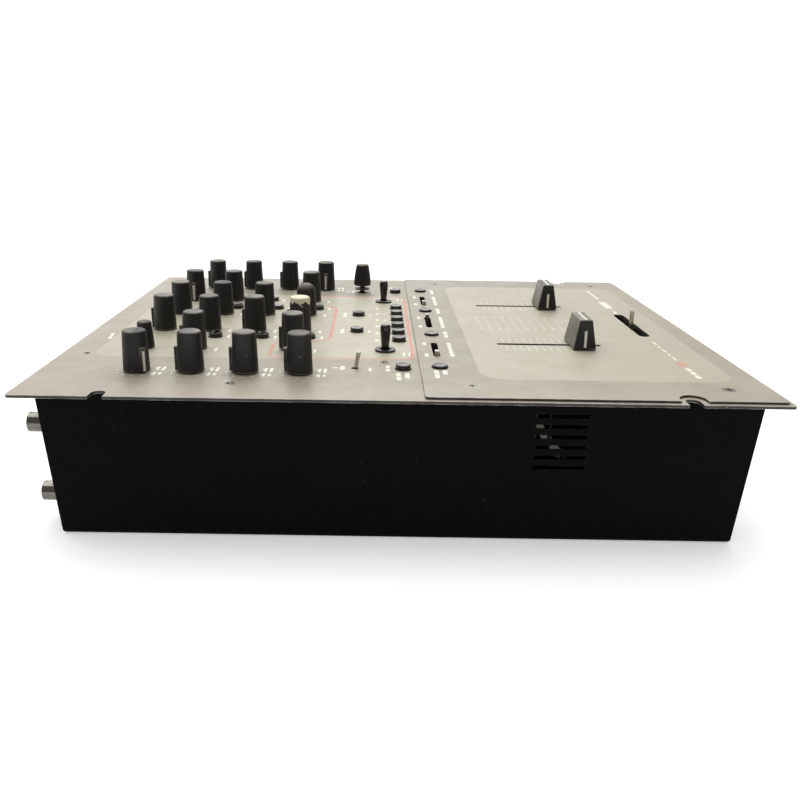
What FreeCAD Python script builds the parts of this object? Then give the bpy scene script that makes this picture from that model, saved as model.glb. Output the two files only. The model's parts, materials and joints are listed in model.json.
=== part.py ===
import FreeCAD, Part
import os
import Sketcher

# A ten-inch, two-channel DJ mixer: a sheet-metal tray whose short ends slant outwards, a control
# panel that overhangs it, and a separate fader plate over the front half of that panel.
# Frame: +X is the DJ's right, -Y the DJ's side, +Z up. The origin is the centre of the base.

SIZES = [
    ("panel_width", 254.0, "control panel, left to right"),
    ("panel_depth", 302.0, "control panel, front to back"),
    ("panel_top", 64.0, "upper face of the panel above the base"),
    ("sheet_thickness", 1.2, "control panel sheet"),
    ("panel_corner", 1.5, "rounding of the panel's corners"),
    ("plate_thickness", 1.0, "fader plate sheet"),
    ("plate_inset", 2.0, "strip of panel that shows around the fader plate"),
    ("plate_back", -9.5, "back edge of the fader plate"),
    ("body_width", 234.0, "tray, left to right"),
    ("base_half_depth", 138.7, "half the tray's depth at its base"),
    ("rim_half_depth", 144.0, "half the tray's depth under the panel"),
    ("wall_thickness", 1.0, "tray sheet"),
    ("bend_radius", 2.0, "outside of the tray's bottom bends"),
    ("flange_width", 12.0, "tray rim, turned inwards under the panel"),
    ("vent_length", 21.0, "one cooling slot"),
    ("vent_height", 1.8, "one cooling slot"),
    ("vent_pitch", 4.4, "between cooling slots"),
    ("vent_drop", 9.0, "first cooling slot below the panel's upper face"),
    ("vent_centre", -64.6, "middle of the cooling slots along the side wall"),
    ("notch_back", 116.5, "rear mounting notches behind the middle of the panel"),
    ("notch_front", 112.6, "front mounting notches before the middle of the panel"),
    ("notch_width", 5.8, "mounting notch"),
    ("notch_depth", 7.0, "mounting notch, in from the panel's side edge"),
    ("notch_margin", 2.3, "how much wider each side the fader plate's own notch is"),
    ("outer_column", 92.0, "outer knob columns from the middle"),
    ("middle_column", 55.0, "middle knob columns from the middle"),
    ("inner_column", 18.5, "inner knob columns from the middle"),
    ("edge_column", 84.2, "cue buttons, small toggles and outer flush buttons from the middle"),
    ("kill_column", 33.0, "kill buttons from the middle"),
    ("outer_row_back", 110.2, "rearmost knob of an outer column"),
    ("inner_row_back", 116.6, "rearmost knob of a middle or inner column"),
    ("row_pitch", 22.85, "between knob rows"),
    ("kill_row_back", 88.4, "rearmost kill button"),
    ("select_row", 19.3, "two monitor select buttons"),
    ("toggle_row", 18.5, "two small toggles"),
    ("paddle_row", 5.3, "two paddle toggles"),
    ("cue_row", -2.2, "two cue buttons"),
    ("sample_row", -1.6, "six effect buttons"),
    ("sample_pitch", 14.5, "between effect buttons"),
    ("slider_row", -18.0, "curve sliders and flush buttons"),
    ("flush_column", 27.0, "inner flush buttons from the middle"),
    ("knob_base_radius", 5.6, "big knob at its base"),
    ("knob_top_radius", 4.95, "big knob at its top"),
    ("knob_height", 17.0, "big knob"),
    ("knob_gap", 0.6, "knob above the panel"),
    ("knob_edge", 1.1, "rounding of the knob's top edge"),
    ("knob_dish", 0.3, "hollow in the knob's top"),
    ("dish_margin", 0.3, "flat ring between a knob's rounded edge and its hollow"),
    ("pointer_width", 2.0, "pointer rib on the knob's flank"),
    ("pointer_height", 10.2, "pointer rib, up from the knob's base"),
    ("pointer_reach", 0.9, "pointer rib beyond the knob's base radius"),
    ("pointer_root", 0.5, "pointer rib's inner end outside the shaft"),
    ("slim_wall", 1.1, "slim knob around its shaft, at its base"),
    ("slim_taper", 0.9, "how much the slim knob's radius shrinks from base to top"),
    ("slim_height", 12.0, "slim knob"),
    ("shaft_radius", 3.0, "potentiometer shaft"),
    ("shaft_gap", 0.4, "shaft in its bushing"),
    ("shaft_seat", 9.0, "shaft inside the knob"),
    ("shaft_foot", 2.0, "potentiometer shaft above the main board"),
    ("shaft_play", 1.0, "potentiometer shaft above the bottom of its bore"),
    ("bushing_radius", 4.5, "potentiometer bushing, outside"),
    ("hole_gap", 0.35, "round a moving piece in its panel hole"),
    ("button_radius", 3.3, "round push button"),
    ("button_height", 2.2, "round push button above the panel"),
    ("button_edge", 0.5, "rounding of a button's top edge"),
    ("button_skirt", 2.4, "button below the panel's upper face"),
    ("button_travel", 1.2, "push button stroke"),
    ("press_gap", 0.4, "fully pressed button above its switch"),
    ("button_dish", 0.25, "hollow in a button's top"),
    ("flush_radius", 3.4, "flush push button"),
    ("flush_height", 1.2, "flush push button above the fader plate"),
    ("stem_radius", 1.4, "button stem"),
    ("switch_side", 6.0, "tact switch under a button"),
    ("switch_height", 4.0, "tact switch under a button"),
    ("board_drop", 14.0, "upper face of the main board below the panel's upper face"),
    ("board_thickness", 1.6, "circuit boards"),
    ("pot_side", 11.0, "potentiometer can"),
    ("pot_height", 6.5, "potentiometer can"),
    ("paddle_height", 11.6, "paddle toggle above its flange"),
    ("paddle_foot_radius", 1.65, "paddle toggle at its flange"),
    ("paddle_top_radius", 2.45, "paddle toggle near its tip"),
    ("paddle_flange_radius", 4.75, "round flange under a paddle toggle"),
    ("paddle_flange", 1.0, "thickness of that flange"),
    ("toggle_depth", 2.5, "toggle levers below the panel's upper face"),
    ("toggle_swing", 0.95, "room round a toggle lever for its swing"),
    ("bat_height", 7.5, "small bare toggle above the panel"),
    ("bat_foot_radius", 0.75, "small bare toggle at the panel"),
    ("bat_tip_radius", 0.95, "small bare toggle at its tip"),
    ("bell_gap", 4.6, "bare stem under the bell-shaped cap"),
    ("bell_height", 13.0, "bell-shaped cap"),
    ("bell_foot_radius", 5.35, "bell-shaped cap near its foot"),
    ("bell_top_radius", 3.7, "bell-shaped cap at its top"),
    ("bell_stem_radius", 1.5, "stem under the bell-shaped cap"),
    ("washer_lift", 2.0, "thin disc above the panel"),
    ("washer_thickness", 0.6, "thin disc on the capped toggle"),
    ("pivot_drop", 1.6, "toggle pivots below the panel's upper face"),
    ("pivot_radius", 0.6, "pivot pin of a toggle lever"),
    ("pivot_play", 0.2, "each end of a pivot pin from the bore round it"),
    ("case_width", 8.0, "toggle switch case, left to right"),
    ("case_depth", 12.0, "toggle switch case, front to back"),
    ("case_drop", 4.0, "toggle switch case below the panel's upper face"),
    ("case_play", 1.5, "room under a toggle lever"),
    ("washer_radius", 4.7, "thin disc on that stem"),
    ("fader_column", 43.5, "line faders from the middle"),
    ("fader_row", -73.0, "middle of the line fader slots"),
    ("crossfader_row", -125.3, "crossfader slot"),
    ("fader_travel", 45.0, "line fader and crossfader stroke"),
    ("line_fader_rest", -14.7, "line fader caps from the middle of their slots"),
    ("slot_width", 2.8, "line fader slot"),
    ("cross_slot_width", 5.6, "crossfader slot"),
    ("slot_spare", 0.5, "fader slot beyond the lever at each end of its stroke"),
    ("lever_width", 4.0, "fader lever along its stroke"),
    ("lever_thickness", 1.2, "fader lever across its stroke"),
    ("lever_height", 7.8, "crossfader lever above the fader plate"),
    ("lever_eye", 1.5, "width of the slit in the crossfader lever"),
    ("eye_margin", 1.2, "metal above and below that slit"),
    ("eye_lift", 0.4, "slit above the middle of the lever"),
    ("cap_length", 21.0, "fader cap at its foot, across the stroke"),
    ("cap_width", 10.8, "fader cap at its foot, along the stroke"),
    ("cap_top_length", 18.6, "fader cap at its top, across the stroke"),
    ("cap_top_width", 5.8, "fader cap at its top, along the stroke"),
    ("cap_height", 13.6, "fader cap"),
    ("cap_gap", 0.8, "fader cap above the fader plate"),
    ("cap_edge", 0.9, "rounding of the fader cap's edges"),
    ("carriage_length", 8.0, "fader carriage along its stroke"),
    ("carriage_width", 5.0, "fader carriage across its stroke"),
    ("carriage_height", 2.4, "fader carriage"),
    ("housing_height", 12.0, "fader housing under the panel"),
    ("housing_wall", 1.5, "fader housing walls"),
    ("carriage_room", 0.7, "round the carriage in its housing"),
    ("carriage_lift", 1.0, "fader carriage above the floor of its housing"),
    ("under_gap", 0.3, "bodies of the controls below the panel's underside"),
    ("slider_travel", 20.0, "curve slider stroke"),
    ("slider_width", 3.0, "curve slider lever along its stroke"),
    ("slider_depth", 1.8, "curve slider lever across its stroke"),
    ("slider_height", 2.2, "curve slider lever above the fader plate"),
    ("slider_slot", 3.2, "width of a curve slider slot"),
    ("slider_foot", 7.0, "curve slider lever below the panel's upper face"),
    ("screw_radius", 1.5, "panel screw"),
    ("screw_head_radius", 2.8, "panel screw, countersunk head"),
    ("screw_head", 0.9, "height of that head"),
    ("screw_length", 6.0, "panel screw"),
    ("screw_gap", 0.15, "round a panel screw"),
    ("screw_recess", 0.6, "depth of the screw's cross"),
    ("cross_length", 3.2, "arms of the screw's cross"),
    ("cross_width", 0.8, "arms of the screw's cross"),
    ("plate_screw_column", 110.0, "fader plate screws from the middle"),
    ("plate_screw_back", -29.0, "rear pair of fader plate screws"),
    ("plate_screw_front", -131.5, "front pair of fader plate screws"),
    ("rear_screw_column", 66.5, "rear panel screws from the middle"),
    ("rear_screw_row", 140.0, "rear panel screws"),
    ("side_screw_column", 108.0, "side panel screws from the middle"),
    ("side_screw_row", 69.0, "side panel screws"),
    ("post_column", 74.5, "screws into the board's posts, from the middle"),
    ("post_row", 6.2, "screws into the board's posts"),
    ("post_radius", 3.0, "board post"),
    ("post_bore_gap", 0.05, "round a screw in its board post"),
    ("post_floor", 4.0, "solid foot of a board post"),
    ("board_margin", 12.0, "main board beyond the front and rear controls"),
    ("board_overhang", 10.0, "main board beyond the outer knob columns"),
    ("supply_post_inset", 5.0, "supply board's posts in from its edges"),
    ("supply_width", 60.0, "power supply board, left to right"),
    ("supply_depth", 80.0, "power supply board, front to back"),
    ("supply_place", -75.0, "middle of the power supply board"),
    ("supply_lift", 7.0, "power supply board above the base"),
    ("screen_side", 40.0, "metal screen on the power supply board"),
    ("screen_height", 26.0, "metal screen on the power supply board"),
    ("jack_radius", 4.15, "phono jack barrel"),
    ("jack_length", 8.2, "phono jack barrel beyond its collar"),
    ("jack_collar_radius", 5.6, "shoulder of a phono jack against the wall"),
    ("jack_collar", 1.0, "thickness of that shoulder"),
    ("collar_gap", 0.5, "shoulder to slanting wall"),
    ("neck_step", 0.25, "phono jack neck thinner than its barrel"),
    ("jack_board_inset", 6.0, "jack board's outer face in from the tray's end"),
    ("jack_board_margin", 7.0, "jack board beyond the jacks' centres"),
    ("jack_bore_radius", 1.6, "phono jack centre hole"),
    ("jack_bore_depth", 9.0, "phono jack centre hole"),
    ("jack_pitch", 14.0, "between the two jacks of a stereo pair"),
    ("jack_pair_pitch", 36.0, "between stereo pairs"),
    ("jack_first", -105.0, "first column of phono jacks"),
    ("jack_upper", 45.0, "upper row of phono jacks above the base"),
    ("jack_lower", 14.0, "lower row of phono jacks above the base"),
    ("socket_radius", 3.2, "bore of the quarter-inch sockets"),
    ("socket_barrel_radius", 5.0, "quarter-inch socket, outside"),
    ("socket_depth", 14.0, "quarter-inch socket bore"),
    ("socket_reach", 3.5, "quarter-inch socket beyond its wall"),
    ("socket_height", 42.0, "quarter-inch sockets above the base"),
    ("socket_floor", 3.0, "closed end of a quarter-inch socket"),
    ("socket_nut_margin", 2.0, "socket nut beyond its barrel"),
    ("socket_nut_gap", 0.7, "socket nut to slanting wall"),
    ("socket_lip", 0.5, "barrel beyond its nut"),
    ("microphone_place", 34.0, "microphone socket on the rear wall"),
    ("headphone_place", -84.0, "headphone socket on the front wall"),
    ("inlet_place", 95.0, "low-voltage power inlet on the rear wall"),
    ("inlet_height", 16.0, "power inlet above the base"),
    ("inlet_side", 11.0, "power inlet block"),
    ("inlet_bore_radius", 2.9, "power inlet bore"),
    ("inlet_pin_radius", 1.0, "power inlet centre pin"),
    ("inlet_depth", 12.0, "power inlet block, front to back"),
    ("inlet_reach", 1.5, "power inlet block outside the wall"),
    ("inlet_floor", 1.0, "pin's root in the closed end of the inlet"),
    ("inlet_bore_depth", 9.0, "power inlet bore"),
    ("inlet_pin_drop", 1.5, "centre pin below the inlet's mouth"),
    ("post_place", 5.0, "ground post on the rear wall"),
    ("ground_height", 28.0, "ground post above the base"),
    ("stud_length", 18.0, "ground post"),
    ("stud_reach", 10.0, "ground post outside the wall"),
    ("stud_radius", 1.5, "ground post"),
    ("stud_gap", 0.15, "round the ground post in the wall"),
    ("stud_nut_radius", 4.6, "knurled nut of the ground post"),
    ("stud_nut_height", 5.0, "knurled nut of the ground post"),
    ("stud_nut_gap", 1.2, "knurled nut to slanting wall"),
]

doc = FreeCAD.newDocument("dj_mixer")
sheet = doc.addObject("Spreadsheet::Sheet", "dims")
for row, (alias, value, meaning) in enumerate(SIZES, start=1):
    sheet.set("A%d" % row, alias)
    sheet.set("B%d" % row, str(value))
    sheet.setAlias("B%d" % row, alias)
    sheet.set("C%d" % row, meaning)
doc.recompute()

# Levels and places that follow from the sheet, as expressions.
PANEL_TOP = "dims.panel_top"
TRAY_TOP = "(dims.panel_top - dims.sheet_thickness)"
BOARD_TOP = "(dims.panel_top - dims.board_drop)"
BOARD_UNDER = "(dims.panel_top - dims.board_drop - dims.board_thickness)"
PLATE_FRONT = "(dims.plate_inset - dims.panel_depth / 2)"
HALF_WIDTH = "(dims.panel_width / 2)"
SLOT_LENGTH = "(dims.fader_travel + dims.lever_width + 2 * dims.slot_spare)"
SLIDER_SLOT_LENGTH = "(dims.slider_travel + dims.slider_width + 2 * dims.slot_spare)"
TILT_FORWARD = 10.0       # degrees, how far the small bare toggle leans towards the DJ
THROUGH = 8.0             # spare length of a cutter past the sheet that it cuts
SIDES = (("left", -1), ("right", 1))

nodes = {}                # finished sub-parts by node name


def number(text):
    """The present value of an expression."""
    return float(sheet.evalExpression(text))


def bind(obj, **formulas):
    """Tie properties to expressions of the sheet."""
    for name, text in formulas.items():
        obj.setExpression(name, text)
    return obj


def put(obj, x="0", y="0", z="0"):
    """Tie an object's position to three expressions."""
    for axis, text in zip("xyz", (x, y, z)):
        obj.setExpression("Placement.Base." + axis, text)
    return obj


def turn(obj, axis, angle):
    """Turn an object about its own origin, before put() ties its place."""
    obj.Placement = FreeCAD.Placement(FreeCAD.Vector(), FreeCAD.Rotation(axis, angle))
    return obj


def box(name, length, width, height, x="0", y="0", z="0"):
    """A block centred on x and y that stands on z."""
    block = bind(doc.addObject("Part::Box", name), Length=length, Width=width, Height=height)
    return put(block, "%s - (%s) / 2" % (x, length), "%s - (%s) / 2" % (y, width), z)


def rod(name, radius, height, x="0", y="0", z="0"):
    """An upright cylinder that stands on z."""
    return put(bind(doc.addObject("Part::Cylinder", name), Radius=radius, Height=height), x, y, z)


def rod_y(name, radius, length, x, y, z, backwards=False):
    """A cylinder lying along +Y, or along -Y when backwards."""
    cylinder = bind(doc.addObject("Part::Cylinder", name), Radius=radius, Height=length)
    turn(cylinder, FreeCAD.Vector(1, 0, 0), 90 if backwards else -90)
    return put(cylinder, x, y, z)


def group(name, members):
    """Several solids that share one place."""
    compound = doc.addObject("Part::Compound", name)
    compound.Links = members
    return compound


def joined(name, members):
    """Members fused to one solid."""
    fusion = doc.addObject("Part::MultiFuse", name)
    fusion.Shapes = members
    fusion.Refine = True
    return fusion


def cut(name, base, tools):
    """A base with tools taken out of it."""
    result = doc.addObject("Part::Cut", name)
    result.Base = base
    result.Tool = tools[0] if len(tools) == 1 else group(name + "_tools", tools)
    return result


def slot(name, length, width, height, x, y, z, along="X"):
    """A cutter with round ends, centred on x and y."""
    straight = "(%s - (%s))" % (length, width)
    sizes = (straight, width) if along == "X" else (width, straight)
    ends = []
    for tag, sign in (("low", "-"), ("high", "+")):
        end = "%s %s %s / 2"
        place = (end % (x, sign, straight), y) if along == "X" else (x, end % (y, sign, straight))
        ends.append(rod(name + "_" + tag, "(%s) / 2" % width, height, place[0], place[1], z))
    return joined(name, [box(name + "_middle", sizes[0], sizes[1], height, x, y, z)] + ends)


def outline(sketch, corners):
    """A closed loop of straight lines through corners that are tied to the sheet."""
    points = [FreeCAD.Vector(number(x), number(y), 0) for x, y in corners]
    first = sketch.GeometryCount
    count = len(points)
    for index in range(count):
        line = Part.LineSegment(points[index], points[(index + 1) % count])
        sketch.addGeometry(line, False)
    for index in range(count):
        following = first + (index + 1) % count
        sketch.addConstraint(Sketcher.Constraint("Coincident", first + index, 2, following, 1))
    for index, (corner, point) in enumerate(zip(corners, points)):
        for kind, text, value in zip(("DistanceX", "DistanceY"), corner, (point.x, point.y)):
            rule = Sketcher.Constraint(kind, -1, 1, first + index, 1, value)
            sketch.setExpression("Constraints[%d]" % sketch.addConstraint(rule), text)


def sketch_in(body, name, plane, loops, lift=None):
    """A sketch on one of the body's own origin planes."""
    sketch = body.newObject("Sketcher::SketchObject", name)
    support = [item for item in body.Origin.OriginFeatures if item.Role == plane][0]
    sketch.AttachmentSupport = (support, [""])
    sketch.MapMode = "FlatFace"
    if lift is not None:
        sketch.setExpression("AttachmentOffset.Base.z", lift)
    for corners in loops:
        outline(sketch, corners)
    return sketch


def rectangle(length, width, x="0", y="0"):
    """The corners of a rectangle centred on x and y."""
    halves = [(-1, -1), (1, -1), (1, 1), (-1, 1)]
    return [("%s + %d * (%s) / 2" % (x, i, length), "%s + %d * (%s) / 2" % (y, j, width))
            for i, j in halves]


def pad(body, name, sketch, length, midplane=False):
    feature = body.newObject("PartDesign::Pad", name)
    feature.Profile = sketch
    feature.Midplane = midplane
    return bind(feature, Length=length)


def turned(name, profile):
    """A body turned about Z from a half profile in the XZ plane."""
    body = doc.addObject("PartDesign::Body", name)
    sketch = sketch_in(body, name + "_profile", "XZ_Plane", [profile])
    spin = body.newObject("PartDesign::Revolution", name + "_turning")
    spin.Profile = sketch
    spin.ReferenceAxis = (sketch, ["V_Axis"])
    spin.Angle = 360
    doc.recompute()
    return body


def round_edges(body, name, radius, chosen):
    """Fillet the edges of the body's tip for which chosen(edge) is true."""
    doc.recompute()
    tip = body.Tip
    edges = ["Edge%d" % (i + 1) for i, edge in enumerate(tip.Shape.Edges) if chosen(edge)]
    fillet = body.newObject("PartDesign::Fillet", name)
    fillet.Base = (tip, edges)
    return bind(fillet, Radius=radius)


def ring_at(height, radius):
    """Picks the circular edge at a height and radius, both expressions."""
    def chosen(edge):
        limits = edge.BoundBox
        level = abs(limits.ZMin - number(height)) < 1e-4 and limits.ZLength < 1e-4
        return level and abs(limits.XMax - number(radius)) < 1e-3
    return chosen


def finish(node, shape):
    """Keep a finished sub-part under its node name."""
    shape.Label = node
    nodes[node] = shape
    return shape


def node_from(node, members, x="0", y="0", z="0", angle=0.0, axis=FreeCAD.Vector(0, 0, 1)):
    """A node made of shared solids, turned about its own origin and put in its place."""
    piece = turn(group("node_" + node, members), axis, angle)
    return finish(node, put(piece, x, y, z))


def copies(name, members, places):
    """Static copies of shared solids, one at each place."""
    return [put(group("%s_%d" % (name, index), members), *place)
            for index, place in enumerate(places, start=1)]


def wall_y(height):
    """Outer face of the slanting rear wall at a height above the base."""
    slope = "(dims.rim_half_depth - dims.base_half_depth) / %s" % TRAY_TOP
    return "(dims.base_half_depth + (%s) * (%s))" % (slope, height)


def row_y(first, index):
    """The place of a row, counted from the rearmost one."""
    return "(dims.%s - %d * dims.row_pitch)" % (first, index)


def column_x(sign, column):
    return "(%d * dims.%s)" % (sign, column)


# Where each kind of control sits: node name, x, y.
KNOBS = []
for side, sign in SIDES:
    for index in range(4):
        KNOBS.append(("%s_outer_knob_%d" % (side, index + 1),
                      column_x(sign, "outer_column"), row_y("outer_row_back", index)))
        KNOBS.append(("%s_inner_knob_%d" % (side, index + 1),
                      column_x(sign, "inner_column"), row_y("inner_row_back", index)))
for side, sign, indexes in (("left", -1, (1, 3)), ("right", 1, (0, 1, 3))):
    for index in indexes:
        KNOBS.append(("%s_middle_knob_%d" % (side, index + 1),
                      column_x(sign, "middle_column"), row_y("inner_row_back", index)))
# Pointer directions that are not twelve o'clock, in degrees anticlockwise from it.
POINTERS = {"left_outer_knob_1": 135.0, "right_outer_knob_4": 90.0, "right_middle_knob_1": 90.0}
SLIM_KNOB = ("left_slim_knob", column_x(-1, "middle_column"), row_y("inner_row_back", 0))

BUTTONS = [("right_link_button", column_x(1, "middle_column"), row_y("inner_row_back", 2))]
for side, sign in SIDES:
    for index in range(3):
        BUTTONS.append(("%s_kill_button_%d" % (side, index + 1),
                        column_x(sign, "kill_column"), row_y("kill_row_back", index)))
    BUTTONS.append((side + "_select_button", column_x(sign, "inner_column"), "dims.select_row"))
    BUTTONS.append((side + "_cue_button", column_x(sign, "edge_column"), "dims.cue_row"))
for index in range(6):
    BUTTONS.append(("effect_button_%d" % (index + 1),
                    "(%.1f * dims.sample_pitch)" % (index - 2.5), "dims.sample_row"))
FLUSH_BUTTONS = [("%s_%s_flush_button" % (side, which), column_x(sign, column), "dims.slider_row")
                 for side, sign in SIDES
                 for which, column in (("outer", "edge_column"), ("inner", "flush_column"))]
# Curve sliders and the end of the stroke that each one rests at.
SLIDERS = [("left_curve_slider", column_x(-1, "middle_column"), -1),
           ("middle_curve_slider", "0", 1),
           ("right_curve_slider", column_x(1, "middle_column"), -1)]
PADDLES = [(side + "_paddle_toggle", column_x(sign, "middle_column")) for side, sign in SIDES]


# ---------------------------------------------------------------- shared moving pieces
# Shared pieces are drawn with z = 0 at the panel's upper face.

def knob_cap(name, base_radius, top_radius, height):
    """A tapered knob with a rounded, dished top and a blind hole for its shaft."""
    foot = "dims.knob_gap"
    top = "dims.knob_gap + %s" % height
    seat = "dims.knob_gap + dims.shaft_seat"
    dish_radius = "(%s - dims.knob_edge - dims.dish_margin)" % top_radius
    body = turned(name, [("dims.shaft_radius", foot), (base_radius, foot), (top_radius, top),
                         (dish_radius, top), ("0", "%s - dims.knob_dish" % top), ("0", seat),
                         ("dims.shaft_radius", seat)])
    round_edges(body, name + "_edge", "dims.knob_edge", ring_at(top, top_radius))
    return body


def pot_shaft(name):
    """A round shaft from inside its can up into its knob."""
    foot = "(dims.shaft_foot - dims.board_drop)"
    return rod(name, "dims.shaft_radius", "dims.knob_gap + dims.shaft_seat - " + foot, z=foot)


def button_cap(name, radius, height, skirt):
    """A push button: a dished cap, a skirt that fills the hole and a stem down to its switch."""
    stem_foot = "(dims.switch_height + dims.button_travel + dims.press_gap - dims.board_drop)"
    body = turned(name, [("0", stem_foot), ("dims.stem_radius", stem_foot),
                         ("dims.stem_radius", skirt), (radius, skirt), (radius, height),
                         ("0.7 * %s" % radius, height),
                         ("0.5 * %s" % radius, height + " - dims.button_dish"),
                         ("0", height + " - dims.button_dish")])
    round_edges(body, name + "_edge", "dims.button_edge", ring_at(height, radius))
    return body


def fader_cap(name):
    """A fader cap that tapers to a narrow top, with a slit below for its lever."""
    body = doc.addObject("PartDesign::Body", name)
    foot = "dims.plate_thickness + dims.cap_gap"
    wedge = body.newObject("PartDesign::AdditiveWedge", name + "_wedge")
    wedge.AttachmentSupport = ([item for item in body.Origin.OriginFeatures
                                if item.Role == "XZ_Plane"][0], [""])
    wedge.MapMode = "FlatFace"
    bind(wedge, Xmin="-dims.cap_length / 2", Xmax="dims.cap_length / 2",
         X2min="-dims.cap_top_length / 2", X2max="dims.cap_top_length / 2",
         Zmin="-dims.cap_width / 2", Zmax="dims.cap_width / 2",
         Z2min="-dims.cap_top_width / 2", Z2max="dims.cap_top_width / 2",
         Ymin=foot, Ymax=foot + " + dims.cap_height")
    round_edges(body, name + "_edges", "dims.cap_edge",
                lambda edge: edge.BoundBox.ZMax > number(foot) + 1)
    slit = box(name + "_slit", "dims.lever_thickness", "dims.lever_width",
               "dims.cap_height / 2", z=foot)
    return cut(name + "_with_slit", body, [slit])


CARRIAGE_TOP = ("(dims.carriage_height + dims.carriage_lift + dims.housing_wall"
                " - dims.housing_height - dims.sheet_thickness)")


def carriage(name, along):
    """The slider inside a fader housing that carries the lever."""
    sizes = ["dims.carriage_width", "dims.carriage_length"]
    if along == "X":
        sizes.reverse()
    return box(name, sizes[0], sizes[1], "dims.carriage_height",
               z=CARRIAGE_TOP + " - dims.carriage_height")


big_cap = knob_cap("big_cap", "dims.knob_base_radius", "dims.knob_top_radius", "dims.knob_height")
RIB_OUTER = "(dims.knob_base_radius + dims.pointer_reach)"
RIB_INNER = "(dims.shaft_radius + dims.pointer_root)"
rib = box("pointer_rib", "dims.pointer_width", "%s - %s" % (RIB_OUTER, RIB_INNER),
          "dims.pointer_height", y="(%s + %s) / 2" % (RIB_OUTER, RIB_INNER), z="dims.knob_gap")
pointer_cap = joined("pointer_cap", [big_cap, rib])
SLIM_BASE = "(dims.shaft_radius + dims.slim_wall)"
SLIM_TOP = "(%s - dims.slim_taper)" % SLIM_BASE
slim_cap = knob_cap("slim_cap", SLIM_BASE, SLIM_TOP, "dims.slim_height")
shaft = pot_shaft("pot_shaft")
round_button = button_cap("round_button", "dims.button_radius", "dims.button_height",
                          "-dims.button_skirt")
flush_button = button_cap("flush_button", "dims.flush_radius",
                          "dims.plate_thickness + dims.flush_height", "-dims.button_skirt")

# ---------------------------------------------------------------- knobs
for node, x, y in KNOBS:
    node_from(node, [pointer_cap, shaft], x, y, PANEL_TOP, POINTERS.get(node, 0.0))
node_from(SLIM_KNOB[0], [slim_cap, shaft], SLIM_KNOB[1], SLIM_KNOB[2], PANEL_TOP)

# ---------------------------------------------------------------- buttons
for node, x, y in BUTTONS:
    node_from(node, [round_button], x, y, PANEL_TOP)
for node, x, y in FLUSH_BUTTONS:
    node_from(node, [flush_button], x, y, PANEL_TOP)

# ---------------------------------------------------------------- toggles
LEVER_FOOT = "-dims.toggle_depth"


def toggle_lever(name, solid, foot_radius):
    """A toggle lever with its pivot pin, moved so that z = 0 is the pin's axis."""
    reach = "(%s + dims.toggle_swing - dims.pivot_play)" % foot_radius
    pin = bind(doc.addObject("Part::Cylinder", name + "_pin"), Radius="dims.pivot_radius",
               Height="2 * " + reach)
    turn(pin, FreeCAD.Vector(0, 1, 0), 90)
    put(pin, "-" + reach, "0", "-dims.pivot_drop")
    return put(joined(name, [solid, pin]), z="dims.pivot_drop")


PIVOT_LEVEL = "(dims.panel_top - dims.pivot_drop)"
PADDLE_TOP = "(dims.paddle_flange + dims.paddle_height)"
paddle = turned("paddle", [("0", LEVER_FOOT), ("dims.paddle_foot_radius", LEVER_FOOT),
                           ("dims.paddle_foot_radius", "dims.paddle_flange"),
                           ("dims.paddle_top_radius", "0.78 * " + PADDLE_TOP),
                           ("0.92 * dims.paddle_top_radius", PADDLE_TOP), ("0", PADDLE_TOP)])
round_edges(paddle, "paddle_tip", "0.5 * dims.paddle_top_radius",
            ring_at(PADDLE_TOP, "0.92 * dims.paddle_top_radius"))
paddle_lever = toggle_lever("paddle_lever", paddle, "dims.paddle_foot_radius")
for node, x in PADDLES:
    node_from(node, [paddle_lever], x, "dims.paddle_row", PIVOT_LEVEL)

bat = turned("bat", [("0", LEVER_FOOT), ("dims.bat_foot_radius", LEVER_FOOT),
                     ("dims.bat_foot_radius", "0"), ("dims.bat_tip_radius", "0.9 * dims.bat_height"),
                     ("dims.bat_tip_radius", "dims.bat_height"), ("0", "dims.bat_height")])
round_edges(bat, "bat_tip", "0.7 * dims.bat_tip_radius",
            ring_at("dims.bat_height", "dims.bat_tip_radius"))
node_from("left_small_toggle", [toggle_lever("bat_lever", bat, "dims.bat_foot_radius")],
          column_x(-1, "edge_column"), "dims.toggle_row", PIVOT_LEVEL,
          TILT_FORWARD, FreeCAD.Vector(1, 0, 0))

BELL_TOP = "(dims.bell_gap + dims.bell_height)"
BELL_SEAT = "(dims.bell_gap + dims.bell_height / 2)"
bell = turned("bell", [("dims.bell_stem_radius", "dims.bell_gap"),
                       ("0.94 * dims.bell_foot_radius", "dims.bell_gap"),
                       ("dims.bell_foot_radius", "dims.bell_gap + 0.14 * dims.bell_height"),
                       ("0.9 * dims.bell_foot_radius", "dims.bell_gap + 0.5 * dims.bell_height"),
                       ("dims.bell_top_radius", BELL_TOP), ("0", BELL_TOP), ("0", BELL_SEAT),
                       ("dims.bell_stem_radius", BELL_SEAT)])
round_edges(bell, "bell_rim", "0.3 * dims.bell_top_radius", ring_at(BELL_TOP, "dims.bell_top_radius"))
WASHER_TOP = "dims.washer_lift + dims.washer_thickness"
bell_stem = turned("bell_stem", [("0", LEVER_FOOT), ("dims.bell_stem_radius", LEVER_FOOT),
                                 ("dims.bell_stem_radius", "dims.washer_lift"),
                                 ("dims.washer_radius", "dims.washer_lift"),
                                 ("dims.washer_radius", WASHER_TOP),
                                 ("dims.bell_stem_radius", WASHER_TOP),
                                 ("dims.bell_stem_radius", BELL_SEAT), ("0", BELL_SEAT)])
bell_lever = toggle_lever("bell_lever", bell_stem, "dims.bell_stem_radius")
lifted_bell = put(group("lifted_bell", [bell]), z="dims.pivot_drop")
node_from("right_capped_toggle", [lifted_bell, bell_lever], column_x(1, "edge_column"),
          "dims.toggle_row", PIVOT_LEVEL)

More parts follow.
